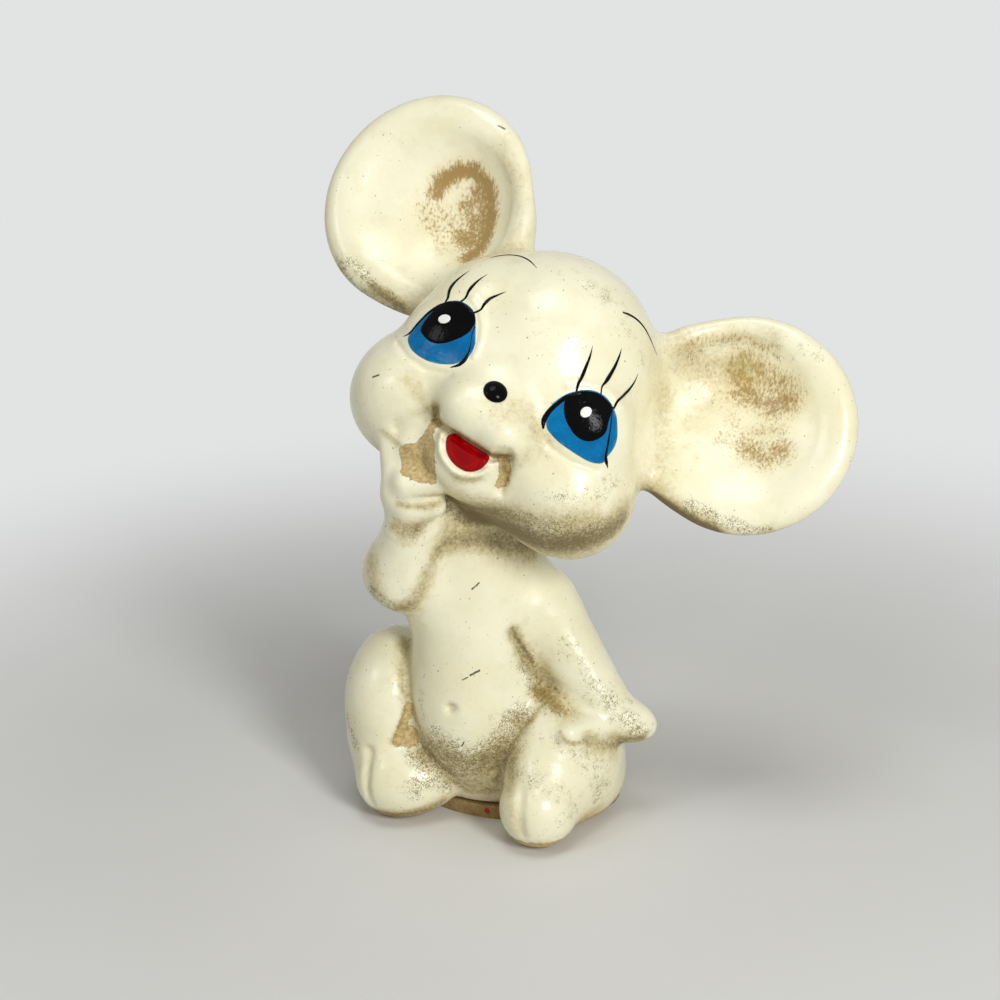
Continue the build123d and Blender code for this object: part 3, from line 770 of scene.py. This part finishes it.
skin_owner = share_out(skin_points, skin_faces)
height, back, down = skin_points[:, 2], skin_normals[:, 1], -skin_normals[:, 2]
facing_front = ramp(back, 0.25, -0.25)   # a mark on a thin ear stays on the side it was made on
wear_and_shade_masks = {kind: marks_at(kind) * facing_front for kind in marks}
# How far each point lies down in a crease; it darkens the paint there as painted shade.
HOLLOW_REACH = 1.6
hollow = 1 - clay_skin(skin_points + skin_normals * HOLLOW_REACH)[0] / HOLLOW_REACH
wear_and_shade_masks["hollow"] = np.clip(hollow, 0, 1)
# Skin that faces down darkens too: painted shade under overhangs.
wear_and_shade_masks["grime_and_shade"] += 0.8 * np.clip(down - 0.1, 0, 1)
underneath = ramp(height, RING_TOP + 1, RING_TOP - 0.2) * ramp(down, 1 / 3, 2 / 3)
wear_and_shade_masks["bare"] = np.maximum(wear_and_shade_masks["bare"], underneath)
handled = 0.22 * ramp(height, 34, 4)
rubbed_behind = 0.5 * ramp(back, 0.3, 0.8) * ramp(height, 22, 6)
wear_and_shade_masks["flecks"] = np.maximum(wear_and_shade_masks["flecks"], np.maximum(handled, rubbed_behind))


class Socket:
    """An output of a node, so that shader maths reads as plain arithmetic."""

    def __init__(self, nodes, socket):
        self.nodes, self.socket = nodes, socket

    def reckon(self, operation, *others):
        sockets = dict(enumerate((self, *others)))
        return self.nodes.node("ShaderNodeMath", {"operation": operation}, sockets)

    def __add__(self, other): return self.reckon("ADD", other)
    def __mul__(self, other): return self.reckon("MULTIPLY", other)
    def __sub__(self, other): return self.reckon("SUBTRACT", other)
    def __rsub__(self, other): return self.reckon("MULTIPLY", -1) + other
    def __abs__(self): return self.reckon("ABSOLUTE")
    __radd__, __rmul__ = __add__, __mul__


class Nodes:
    """A tree of nodes, filled one node at a time."""

    def __init__(self, tree):
        self.tree = tree
        tree.nodes.clear()

    def node(self, kind, settings=None, sockets=None, output=0):
        made = self.tree.nodes.new(kind)
        for key, value in (settings or {}).items():
            setattr(made, key, value)
        for key, value in (sockets or {}).items():
            if isinstance(value, Socket):
                self.tree.links.new(value.socket, made.inputs[key])
            else:
                made.inputs[key].default_value = value
        return Socket(self, made.outputs[output]) if made.outputs else None


class Finish(Nodes):
    """A material and the nodes that it is made of."""

    def __init__(self, name):
        self.material = bpy.data.materials.new(name)
        self.material.use_nodes = True
        super().__init__(self.material.node_tree)
        self.place = self.node("ShaderNodeTexCoord", output="Object")

    def noise(self, scale, detail=2.0, rough=0.5, wander=0.0, stretch=(1, 1, 1)):
        sockets = {"Scale": scale, "Detail": detail, "Roughness": rough, "Distortion": wander}
        sockets["Vector"] = self.vector("MULTIPLY", self.place, stretch)
        return self.node("ShaderNodeTexNoise", sockets=sockets)

    def mask(self, value, low, high):
        """0 below one value and 1 above another, eased between."""
        sockets = {"Value": value, "From Min": low, "From Max": high}
        return self.node("ShaderNodeMapRange", {"interpolation_type": "SMOOTHSTEP"}, sockets)

    def mix(self, share, under, over):
        sockets = {0: share, 6: shade(under), 7: shade(over)}
        return self.node("ShaderNodeMix", {"data_type": "RGBA"}, sockets, output=2)

    def vector(self, operation, first, second, output="Vector"):
        sockets = {0: first, 1: second}
        return self.node("ShaderNodeVectorMath", {"operation": operation}, sockets, output)

    def nick(self, start, end, width):
        """1 along a short nick between two places in millimetres, with ragged sides."""
        start, end = np.array(start) * MILLIMETRE, np.array(end) * MILLIMETRE
        run = end - start
        from_start = self.vector("SUBTRACT", self.place, tuple(start))
        share = self.vector("DOT_PRODUCT", from_start, tuple(run / (run @ run)), "Value")
        share = self.node("ShaderNodeClamp", sockets={"Value": share})
        scaled = {0: tuple(run), "Scale": share}
        nearest = self.node("ShaderNodeVectorMath", {"operation": "SCALE"}, scaled)
        off = self.vector("DISTANCE", from_start, nearest, "Value")
        half = width / 2 * MILLIMETRE
        return 1 - self.mask(off + (self.noise(2500, 2) - 0.5) * half * 1.6, half * 0.6, half * 1.2)

    def stored_value(self, label):
        return self.node("ShaderNodeAttribute", {"attribute_name": label}, output="Fac")

    def bump(self, height, strength, distance):
        sockets = {"Height": height, "Strength": strength, "Distance": distance}
        return self.node("ShaderNodeBump", sockets=sockets)

    def surface(self, colour, roughness, normal, mirror=0.5):
        sockets = {"Base Color": colour, "Roughness": roughness, "Normal": normal}
        sockets["Specular IOR Level"] = mirror
        shader = self.node("ShaderNodeBsdfPrincipled", sockets=sockets)
        self.node("ShaderNodeOutputMaterial", sockets={"Surface": shader})
        return self.material


def shade(colour):
    """A colour as it is seen, 0 to 255, in the shader's own measure; a node's colour stays."""
    if isinstance(colour, Socket):
        return colour
    return tuple(
        value / 255 / 12.92 if value <= 10 else ((value / 255 + 0.055) / 1.055) ** 2.4
        for value in colour
    ) + (1.0,)


NICKS = (
    ((-1.4, -18.8, 30), (0, -18.2, 30.8), 0.42),
    ((-2.7, -19.2, 29.2), (-1.8, -19, 29.7), 0.24),
    ((-1.4, -16.1, 44.7), (-0.3, -15.5, 45.7), 0.32),
    ((-15.1, -21.5, 82.6), (-14.0, -21.7, 83.1), 0.34),
    ((-4.3, 16.3, 117.5), (-3.2, 16.3, 117.0), 0.36),
    ((-3.3, -19.3, 16.8), (-2.8, -19.4, 17.7), 0.3),
    ((14.5, -23.9, 8.5), (15.3, -22.5, 9.2), 0.36),
)


def bare_clay(finish):
    """Colour of the fired tan clay, gritty and a little dirty."""
    grit = finish.mask(finish.noise(1700, 4, 0.7), 0.35, 0.65)
    fired = finish.mix(grit, (176, 150, 96), (210, 188, 134))
    return finish.mix(finish.mask(finish.noise(500, 4, 0.7), 0.52, 0.7) * 0.5, fired, (140, 114, 64))


cream = Finish("cream_cold_paint")
cloudy = cream.noise(70, 4, 0.55)
ragged = cream.noise(950, 4, 0.65) - 0.5
grit = cream.noise(1800, 3, 0.7) - 0.5
streaks = cream.noise(2400, 3, 0.7, stretch=(1, 1, 0.35)) - 0.5
dusty = cream.stored_value("flecks") + cream.noise(60, 3, 0.6) * 0.5 - 0.12
worms = cream.mask(dusty * 0.034 - abs(cream.noise(1700, 2, 0.5, 1.0) - 0.5), -0.026, 0)
flecks = worms * cream.mask((cream.noise(520, 4, 0.7) - 0.5) * 0.75 + dusty * 0.45, 0.2, 0.42)
pin_holes = cream.mask(cream.noise(1900, 1, 0.5), 0.74, 0.78)
stain = cream.stored_value("stain")
stipple = cream.mask(stain * 0.8 + ragged * 0.6 + streaks * 1.8, 0.3, 0.92)
# Dirt with painted shade: the grime marks and the crease measure darken the paint as real dirt and as
# painted shade in creases and under overhangs.
grime_and_shade = cream.stored_value("grime_and_shade") + cream.stored_value("hollow") * 0.45
soiled_and_shaded = grime_and_shade + ragged * 0.8 + (cloudy - 0.5) * 0.9
wash_and_shade = cream.mask(soiled_and_shaded + grit * 0.6, 0.12, 1.0)
dirt_and_shade = cream.mask(soiled_and_shaded + grit * 1.3, 0.7, 1.6)
chip = cream.stored_value("bare") + ragged * 0.75 + grit * 0.35
chipped = cream.mask(chip, 0.44, 0.5)
# A thin darker line where the paint stops round each chip: painted shade under the paint's edge.
chip_edge_shade = cream.mask(chip, 0.38, 0.44) * (1 - cream.mask(chip, 0.46, 0.54))
scratched = 0
for start, end, width in NICKS:
    scratched = cream.nick(start, end, width) + scratched
paint = cream.mix(cream.mask(cloudy, 0.38, 0.64), (246, 242, 212), (240, 234, 198))
# Bare clay where the paint is chipped, darker under dirt and painted shade.
fired = cream.mix(dirt_and_shade * 0.7, bare_clay(cream), (104, 78, 32))
for share, colour in (
    (cream.mask(cream.noise(240, 4, 0.6), 0.5, 0.75) * 0.35, (226, 218, 180)),
    (stain * 0.45, (214, 188, 112)),
    (stipple * 0.85, (148, 112, 38)),
    (wash_and_shade * 0.62, (176, 154, 86)),
    (dirt_and_shade * 0.8, (94, 74, 22)),
    (flecks * 0.8, (120, 104, 56)),
    (pin_holes * 0.7, (120, 105, 70)),
    (chipped, fired),
    (chip_edge_shade * 0.55, (112, 92, 44)),
    (scratched * 0.9, (66, 58, 40)),
):
    paint = cream.mix(share, paint, colour)
relief = cream.noise(230, 3, 0.55) * 1.4 + cream.noise(1500, 2) * 0.22
relief = relief - flecks * 0.35 - chipped * 0.8 - scratched
gloss_lost = 0.16 + cream.noise(400, 3) * 0.16 + wash_and_shade * 0.25 + chipped * 0.4
cream_paint = cream.surface(paint, gloss_lost, cream.bump(relief, 0.45, 0.00022))


def fit(piece, node):
    """Puts a finished piece in its node's place on the one body, and hides the node."""
    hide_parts(node)
    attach(piece, "root")


for number, name in enumerate(CLAY_FORMS):
    piece = in_scene(name + "_casting", cast_mesh(name, number, wear_and_shade_masks))
    piece.data.materials.append(cream_paint)
    fit(piece, name)


# Eyes: blue iris, black pupil and white glint, each a coat of thick gloss enamel laid on the one
# below when it was dry. Places are millimetres out to the mouse's left and up, from mid-head.
def smooth_line(points, count, closed=False):
    """Even steps along a soft line through a few places."""
    points = np.array(points, float)
    ends = points[[-1]], points[:2]
    if not closed:
        ends = 2 * points[:1] - points[1:2], 2 * points[-1:] - points[-2:-1]
    p = np.concatenate([ends[0], points, ends[1]])
    step = np.linspace(0, len(p) - 3, count, endpoint=not closed)
    n = np.minimum(step.astype(int), len(p) - 4)
    t = (step - n)[:, None]
    a, b, c, d = p[n], p[n + 1], p[n + 2], p[n + 3]
    return b + 0.5 * t * (c - a + t * (2 * a - 5 * b + 4 * c - d + t * (3 * (b - c) + d - a)))


BEFORE_FACE = -26.0
LAYING_STEPS = 60


def on_skin(places):
    """Where places on the face meet its skin, and which way the skin faces there."""
    q = np.stack([places[:, 0], np.full(len(places), BEFORE_FACE), places[:, 1]], 1)
    p = (HEAD_MIDDLE + q @ HEAD_AXES.T).astype(np.float32)
    for _ in range(LAYING_STEPS):
        p += clay_skin(p)[0][:, None] * 0.8 * HEAD_AXES[:, 1]
    return p, skin_facing(p)


PATCH_SHARES = (1.0, 0.99, 0.965, 0.92, 0.84, 0.74, 0.62, 0.48, 0.33, 0.17)
STEPS_ROUND = 64
ENAMEL_DEPTH = 0.25
OVAL_POINTS = 12


def enamel_patch(name, outline, rise, finish):
    """A closed coat of enamel inside an outline; rise gives its height at each share of the way out."""
    rim = smooth_line(outline, STEPS_ROUND, closed=True)
    middle = rim.mean(0)
    rings = np.concatenate([middle + (rim - middle) * share for share in PATCH_SHARES] + [middle[None]])
    shares = np.concatenate([np.repeat(PATCH_SHARES, STEPS_ROUND), [0]])
    skin, facing = on_skin(rings)
    over = skin + facing * np.array([rise(share) for share in shares])[:, None]
    under = skin - facing * ENAMEL_DEPTH
    count = len(rings)
    faces = []
    for ring in range(len(PATCH_SHARES)):
        for n in range(STEPS_ROUND):
            a, b = ring * STEPS_ROUND + n, ring * STEPS_ROUND + (n + 1) % STEPS_ROUND
            if ring + 1 < len(PATCH_SHARES):
                face = (a, b, b + STEPS_ROUND, a + STEPS_ROUND)
            else:
                face = (a, b, count - 1)
            faces += [face, tuple(corner + count for corner in reversed(face))]
            if ring == 0:
                faces.append((b, a, a + count, b + count))
    mesh = smooth_mesh(name, np.concatenate([over, under]), faces, {"edge": np.tile(shares, 2)})
    shape = bmesh.new()
    shape.from_mesh(mesh)
    bmesh.ops.recalc_face_normals(shape, faces=shape.faces)
    shape.to_mesh(mesh)
    shape.free()
    mesh.materials.append(finish)
    return in_scene(name, mesh)


def coat(thickness):
    """Height of a flat coat with a rounded edge."""
    return lambda share: thickness * (0.4 + 0.6 * min(1, (1 - share) / 0.06) ** 0.5)


def oval(middle, radii, turn):
    """Outline of an oval whose longer way is turned up from level."""
    steps = np.linspace(0, 2 * pi, OVAL_POINTS, endpoint=False)
    x, z = radii[0] * np.cos(steps), radii[1] * np.sin(steps)
    turned = [x * cos(turn) - z * sin(turn), x * sin(turn) + z * cos(turn)]
    return np.stack(turned, 1) + middle


def enamel(name, low, high, thin, mirror=0.5):
    """Gloss enamel in two mixed tones, thinner towards its edge and brushed a little uneven."""
    finish = Finish(name)
    brushed = finish.mask(finish.noise(220, 4, 0.6, 0.6), 0.36, 0.66)
    edge = finish.mask(finish.stored_value("edge") + (finish.noise(800, 3, 0.6) - 0.5) * 0.24, 0.93, 1.06)
    specks = finish.mask(finish.noise(2400, 2, 0.6), 0.64, 0.72)
    colour = low
    for share, tone in ((brushed * 0.7, high), (edge * 0.75, thin), (specks * 0.25, thin)):
        colour = finish.mix(share, colour, tone)
    relief = finish.noise(700, 3, 0.6) + finish.noise(2600, 2) * 0.4
    roughness = 0.04 + finish.noise(900, 3) * 0.1 + specks * 0.2
    return finish.surface(colour, roughness, finish.bump(relief, 0.5, 0.00012), mirror)


enamels = {
    "blue_enamel": enamel("blue_enamel", (0, 96, 152), (0, 122, 178), (84, 160, 184), 0.12),
    "black_enamel": enamel("black_enamel", (3, 3, 4), (8, 8, 10), (30, 29, 28), 0.07),
    "white_enamel": enamel("white_enamel", (236, 236, 232), (248, 248, 246), (214, 210, 196)),
}

EYES = {
    "right": dict(
        iris=(
            (-18.3, -1.3), (-18.2, 0.3), (-17.9, 2.1), (-17.5, 4.1), (-16.7, 5.9), (-15.6, 7.2),
            (-14.5, 8.0), (-12.8, 8.3), (-11.2, 8.0), (-10.1, 7.1), (-9.2, 5.9), (-8.4, 4.8),
            (-7.7, 3.7), (-7.3, 2.2), (-7.6, 0.7), (-8.6, -0.7), (-10.2, -1.8), (-12.2, -2.6),
            (-14.0, -2.9), (-16.1, -2.8), (-17.5, -2.2),
        ),
        pupil=(
            (-17.0, 0.8), (-15.9, 0.2), (-14.4, 0.0), (-13.0, 0.4), (-11.8, 1.3), (-10.8, 2.5),
            (-10.0, 3.7), (-9.6, 4.9), (-9.6, 6.2), (-10.2, 7.2), (-11.2, 7.9), (-12.7, 8.2),
            (-14.4, 7.9), (-15.5, 7.1), (-16.5, 5.9), (-17.0, 4.3), (-17.2, 2.4),
        ),
        glint=oval((-14.4, 4.3), (1.05, 0.75), radians(38)),
    ),
    "left": dict(
        iris=(
            (8.9, -0.3), (8.3, 1.0), (8.2, 2.4), (8.5, 3.6), (9.2, 5.1), (10.2, 6.4), (11.5, 7.5),
            (12.7, 8.0), (14.2, 8.1), (15.5, 7.7), (16.5, 7.1), (17.5, 6.3), (18.7, 4.7), (19.5, 3.2),
            (19.8, 1.6), (19.7, 0.3), (19.7, -0.9), (18.9, -1.6), (17.7, -2.0), (16.0, -2.1),
            (14.0, -2.1), (12.2, -2.0), (10.6, -1.6), (9.6, -1.2),
        ),
        pupil=(
            (9.5, 3.9), (10.2, 2.7), (11.1, 1.7), (12.4, 0.9), (13.9, 0.3), (15.4, 0.3), (16.6, 1.0),
            (17.4, 2.3), (17.5, 3.6), (17.0, 4.9), (16.5, 6.4), (15.8, 7.4), (14.6, 7.8), (13.1, 7.9),
            (11.6, 7.3), (10.2, 6.2), (9.4, 5.0),
        ),
        glint=oval((13.3, 4.3), (0.95, 0.8), radians(75)),
    ),
}
for side, outlines in EYES.items():
    for part, name, thickness in (
        ("iris", "blue_enamel", 0.12), ("pupil", "black_enamel", 0.19), ("glint", "white_enamel", 0.29)
    ):
        piece = enamel_patch(f"{side}_{part}_enamel", outlines[part], coat(thickness), enamels[name])
        fit(piece, f"{side}_{part}")

# Lashes, lid lines and brows: strokes of black enamel from a fine pointed brush, which swell where
# it was pressed and thin out to nothing where it was lifted. Each has its line and its widths.
STROKE_HEIGHT = 0.24
STROKE_STEPS = 36
STROKE_SIDES = 14
LASHES = {
    "right": (
        (((-16.2, 6.7), (-16.3, 7.5), (-17.0, 8.7), (-17.2, 9.9), (-17.0, 11.4), (-16.5, 13.3)),
         (0.3, 0.45, 0.6, 0.4, 0.05)),
        (((-14.0, 8.0), (-13.7, 9.1), (-14.0, 10.3), (-14.0, 11.6), (-13.8, 12.9), (-13.4, 14.2)),
         (0.3, 0.4, 0.55, 0.35, 0.05)),
        (((-11.1, 7.6), (-10.3, 8.7), (-10.4, 9.8), (-10.2, 11.1), (-9.5, 12.3), (-8.7, 13.5)),
         (0.35, 0.35, 0.6, 0.4, 0.05)),
        (((-19.3, -1.8), (-18.4, -0.5), (-17.95, 1.8), (-17.35, 4.1), (-16.5, 5.8), (-15.3, 7.2)),
         (0.08, 0.4, 0.55, 0.75, 0.85, 0.6)),
        (((-9.4, 6.0), (-9.0, 4.6), (-8.2, 3.1), (-7.75, 2.0), (-7.6, 0.7), (-7.9, -0.5), (-8.9, -1.6)),
         (0.3, 0.3, 0.3, 0.42, 0.7, 0.6, 0.15)),
    ),
    "left": (
        (((10.2, 6.2), (9.8, 7.3), (9.5, 8.7), (9.1, 10.3), (8.6, 12.2), (8.0, 13.8)),
         (0.35, 0.5, 0.6, 0.4, 0.05)),
        (((13.5, 7.9), (12.9, 9.2), (12.8, 10.2), (12.6, 11.7), (12.3, 13.4), (11.9, 15.0),
          (11.5, 16.1)), (0.25, 0.3, 0.72, 0.6, 0.35, 0.05)),
        (((16.3, 7.2), (16.1, 8.5), (16.0, 10.0), (15.9, 11.5), (15.7, 13.0), (15.4, 14.3)),
         (0.35, 0.45, 0.5, 0.3, 0.05)),
        (((9.2, -1.6), (8.6, -0.5), (8.5, 1.1), (8.9, 3.1), (9.6, 4.8), (10.9, 6.4)),
         (0.3, 1.0, 1.0, 0.9, 0.95, 0.8)),
        (((16.0, 7.3), (16.9, 5.8), (17.9, 3.9), (18.8, 1.8), (19.4, 0.3), (20.0, -0.5), (20.7, -1.2)),
         (0.3, 0.35, 0.4, 0.5, 0.7, 0.1)),
    ),
}
BROWS = {
    "right": (
        (((-15.6, 16.8), (-14.9, 17.8), (-13.5, 19.0), (-11.5, 19.8), (-9.4, 19.9), (-7.4, 19.5)),
         (0.06, 0.2, 0.26, 0.3, 0.28, 0.08)),
    ),
    "left": (
        (((8.1, 21.1), (8.9, 21.4), (10.2, 21.5), (11.7, 21.1), (13.4, 20.1), (15.2, 18.7)),
         (0.3, 0.42, 0.4, 0.32, 0.22, 0.05)),
    ),
}


def stroke_maker():
    """The tree that lays enamel along a brush's path, as wide as the path says."""
    group = bpy.data.node_groups.new("brush_strokes", "GeometryNodeTree")
    tree = Nodes(group)
    inputs = {}
    for name, kind in (("Path", "Geometry"), ("Sides", "Int"), ("Enamel", "Material")):
        socket = group.interface.new_socket(name, in_out="INPUT", socket_type="NodeSocket" + kind)
        inputs[name] = socket.identifier
    group.interface.new_socket("Strokes", in_out="OUTPUT", socket_type="NodeSocketGeometry")
    path, sides, paint = (tree.node("NodeGroupInput", output=name) for name in inputs)
    tip = tree.node("GeometryNodeCurvePrimitiveCircle", sockets={"Resolution": sides, "Radius": 1.0})
    width = tree.node("GeometryNodeInputRadius")
    sweep = {"Curve": path, "Profile Curve": tip, "Scale": width, "Fill Caps": True}
    laid = tree.node("GeometryNodeCurveToMesh", sockets=sweep)
    laid = tree.node("GeometryNodeSetShadeSmooth", sockets={"Geometry": laid})
    laid = tree.node("GeometryNodeRealizeInstances", sockets={"Geometry": laid})
    laid = tree.node("GeometryNodeSetMaterial", sockets={"Geometry": laid, "Material": paint})
    tree.node("NodeGroupOutput", sockets={"Strokes": laid})
    return group, inputs


brush, brush_inputs = stroke_maker()


def brushed(name, strokes):
    """Strokes of a brush as one closed mesh, each half sunk into the skin it follows."""
    path = bpy.data.curves.new(name, "CURVE")
    path.dimensions = "3D"
    for line, widths in strokes:
        places = smooth_line(line, STROKE_STEPS)
        along = np.linspace(0, 1, STROKE_STEPS)
        wide = np.interp(along, np.linspace(0, 1, len(widths)), widths)
        high = np.minimum(STROKE_HEIGHT, wide * 0.45)
        radius = ((wide / 2) ** 2 + high**2) / (2 * high)
        skin, facing = on_skin(places)
        middle = (skin - facing * (radius - high)[:, None]) * MILLIMETRE
        spline = path.splines.new("POLY")
        spline.points.add(STROKE_STEPS - 1)
        spline.points.foreach_set("co", np.column_stack([middle, np.ones(STROKE_STEPS)]).ravel())
        spline.points.foreach_set("radius", radius * MILLIMETRE)
    drawn = in_scene(name + "_path", path)
    modifier = drawn.modifiers.new("brush", "NODES")
    modifier.node_group = brush
    modifier[brush_inputs["Sides"]] = STROKE_SIDES
    modifier[brush_inputs["Enamel"]] = enamels["black_enamel"]
    evaluated = drawn.evaluated_get(bpy.context.evaluated_depsgraph_get())
    mesh = bpy.data.meshes.new_from_object(evaluated)
    bpy.data.objects.remove(drawn)
    return in_scene(name, mesh)


for part, strokes in (("lashes", LASHES), ("brow", BROWS)):
    for side in ("right", "left"):
        fit(brushed(f"{side}_{part}_strokes", strokes[side]), f"{side}_{part}")

# Nose and tongue: a domed drop of black enamel on the muzzle, and a tongue of red enamel that
# fills the mouth below the crease, thick along its edge.
def dome(share):
    return 0.1 + 0.85 * (1 - share**2) ** 0.5


def thick_rim(share):
    return 0.15 + 0.45 * np.exp(-(((share - 0.86) / 0.09) ** 2)) * (share < 0.995)


TONGUE = (
    (-3.1, -10.9), (-2.2, -9.9), (0.0, -10.0), (2.0, -9.95), (4.0, -10.0), (4.7, -11.1), (4.2, -12.8),
    (2.8, -14.0), (0.8, -14.2), (-1.1, -13.6), (-2.3, -12.5),
)
nose_edge = oval((0.1, -0.9), (1.98, 1.6), radians(-6))
nose = enamel_patch("nose_enamel", nose_edge, dome, enamels["black_enamel"])
fit(nose, "nose")
red_enamel = enamel("red_enamel", (142, 0, 6), (196, 3, 14), (110, 0, 4), 0.13)
fit(enamel_patch("tongue_enamel", TONGUE, thick_rim, red_enamel), "tongue")

# Foot ring: a flat oval ring of bare fired clay under the body, 38 mm by 26 mm, left unpainted
# because the figure stood on it while it was painted. A drop of red enamel fell on its front.
PAINT_DROP = (-1.3, -13.1, 1.4)
clay = Finish("bare_clay")
fired = clay.mix(0.45, bare_clay(clay), (126, 92, 44))
rubbed = clay.mask(clay.noise(160, 3, 0.6), 0.45, 0.7)
fired = clay.mix(rubbed * 0.5, fired, (90, 66, 30))
away = clay.vector("DISTANCE", clay.place, tuple(v * MILLIMETRE for v in PAINT_DROP), "Value")
drop = 1 - clay.mask(away + (clay.noise(900, 2) - 0.5) * 0.0004, 0.0004, 0.0007)
fired = clay.mix(drop, fired, (176, 12, 18))
gritty = clay.bump(clay.noise(1500, 4, 0.7), 0.6, 0.0003)
ring_clay = clay.surface(fired, 0.7 + clay.noise(700, 3) * 0.25 - drop * 0.4, gritty)
ring_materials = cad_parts["foot_ring"].data.materials
ring_materials.clear()
ring_materials.append(ring_clay)

# Table, light and camera: a plain pale table that fades into a pale room, three soft lamps, and
# the camera where the photograph was taken from.
PALE = shade((226, 227, 227))


def looked_at(nodes):
    """1 for what the camera sees, directly or mirrored in gloss."""
    ray = "ShaderNodeLightPath"
    return nodes.node(ray, output="Is Camera Ray") + nodes.node(ray, output="Is Glossy Ray")


table = bpy.data.meshes.new("table")
table.from_pydata([(-3, -3, 0), (3, -3, 0), (3, 3, 0), (-3, 3, 0)], [], [(0, 1, 2, 3)])
table_top = in_scene("table_top", table)
floor = Finish("pale_table")
painted = {
    "Base Color": floor.mix(floor.noise(30, 3), (228, 228, 225), (224, 224, 221)),
    "Roughness": 0.55 + floor.noise(60, 3) * 0.2,
}
painted = floor.node("ShaderNodeBsdfPrincipled", sockets=painted)
plain = floor.node("ShaderNodeEmission", sockets={"Color": PALE, "Strength": 1.0})
away = floor.vector("DISTANCE", floor.place, (0, 0, 0), "Value")
far = floor.mask(away, 0.06, 0.24) * looked_at(floor)
shown = floor.node("ShaderNodeMixShader", sockets={0: far, 1: painted, 2: plain})
floor.node("ShaderNodeOutputMaterial", sockets={"Surface": shown})
table.materials.append(floor.material)

scene = bpy.context.scene
scene.view_settings.view_transform = "Standard"
scene.world = bpy.data.worlds.new("soft_room")
scene.world.use_nodes = True
air = Nodes(scene.world.node_tree)
soft = air.node("ShaderNodeBackground", sockets={"Color": (1.0, 0.98, 0.94, 1), "Strength": 0.16})
plain = air.node("ShaderNodeBackground", sockets={"Color": PALE})
room = air.node("ShaderNodeMixShader", sockets={0: looked_at(air), 1: soft, 2: plain})
air.node("ShaderNodeOutputWorld", sockets={"Surface": room})


def soft_lamp(name, place, aim, size, power):
    lamp = bpy.data.lights.new(name, "AREA")
    lamp.shape = "RECTANGLE"
    lamp.size, lamp.size_y = size
    lamp.energy = power
    body = in_scene(name, lamp)
    body.location = place
    body.rotation_euler = (Vector(aim) - Vector(place)).to_track_quat("-Z", "Y").to_euler()


soft_lamp("window_right", (0.46, -0.46, 0.36), (0, 0, 0.05), (0.16, 0.22), 3.1)
soft_lamp("window_left", (-0.34, -0.46, 0.50), (0, 0, 0.06), (0.16, 0.2), 0.5)
soft_lamp("ceiling", (0.05, -0.12, 0.7), (0, 0, 0), (0.25, 0.25), 1.1)

AZIMUTH, ELEVATION, ROLL = radians(18), radians(19), radians(2)
TARGET = Vector((0.5, -5, 57)) * MILLIMETRE
DISTANCE = 0.36
back = Vector((sin(AZIMUTH) * cos(ELEVATION), -cos(AZIMUTH) * cos(ELEVATION), sin(ELEVATION)))
right = Vector((cos(AZIMUTH), sin(AZIMUTH), 0))
up = back.cross(right)
image_right = cos(ROLL) * right - sin(ROLL) * up
image_up = sin(ROLL) * right + cos(ROLL) * up
lens = bpy.data.cameras.new("camera")
lens.lens, lens.sensor_width = 75.6, 36
camera = in_scene("camera", lens)
turn = Matrix((image_right, image_up, back)).transposed().to_4x4()
camera.matrix_world = Matrix.Translation(TARGET + back * DISTANCE) @ turn
scene.camera = camera
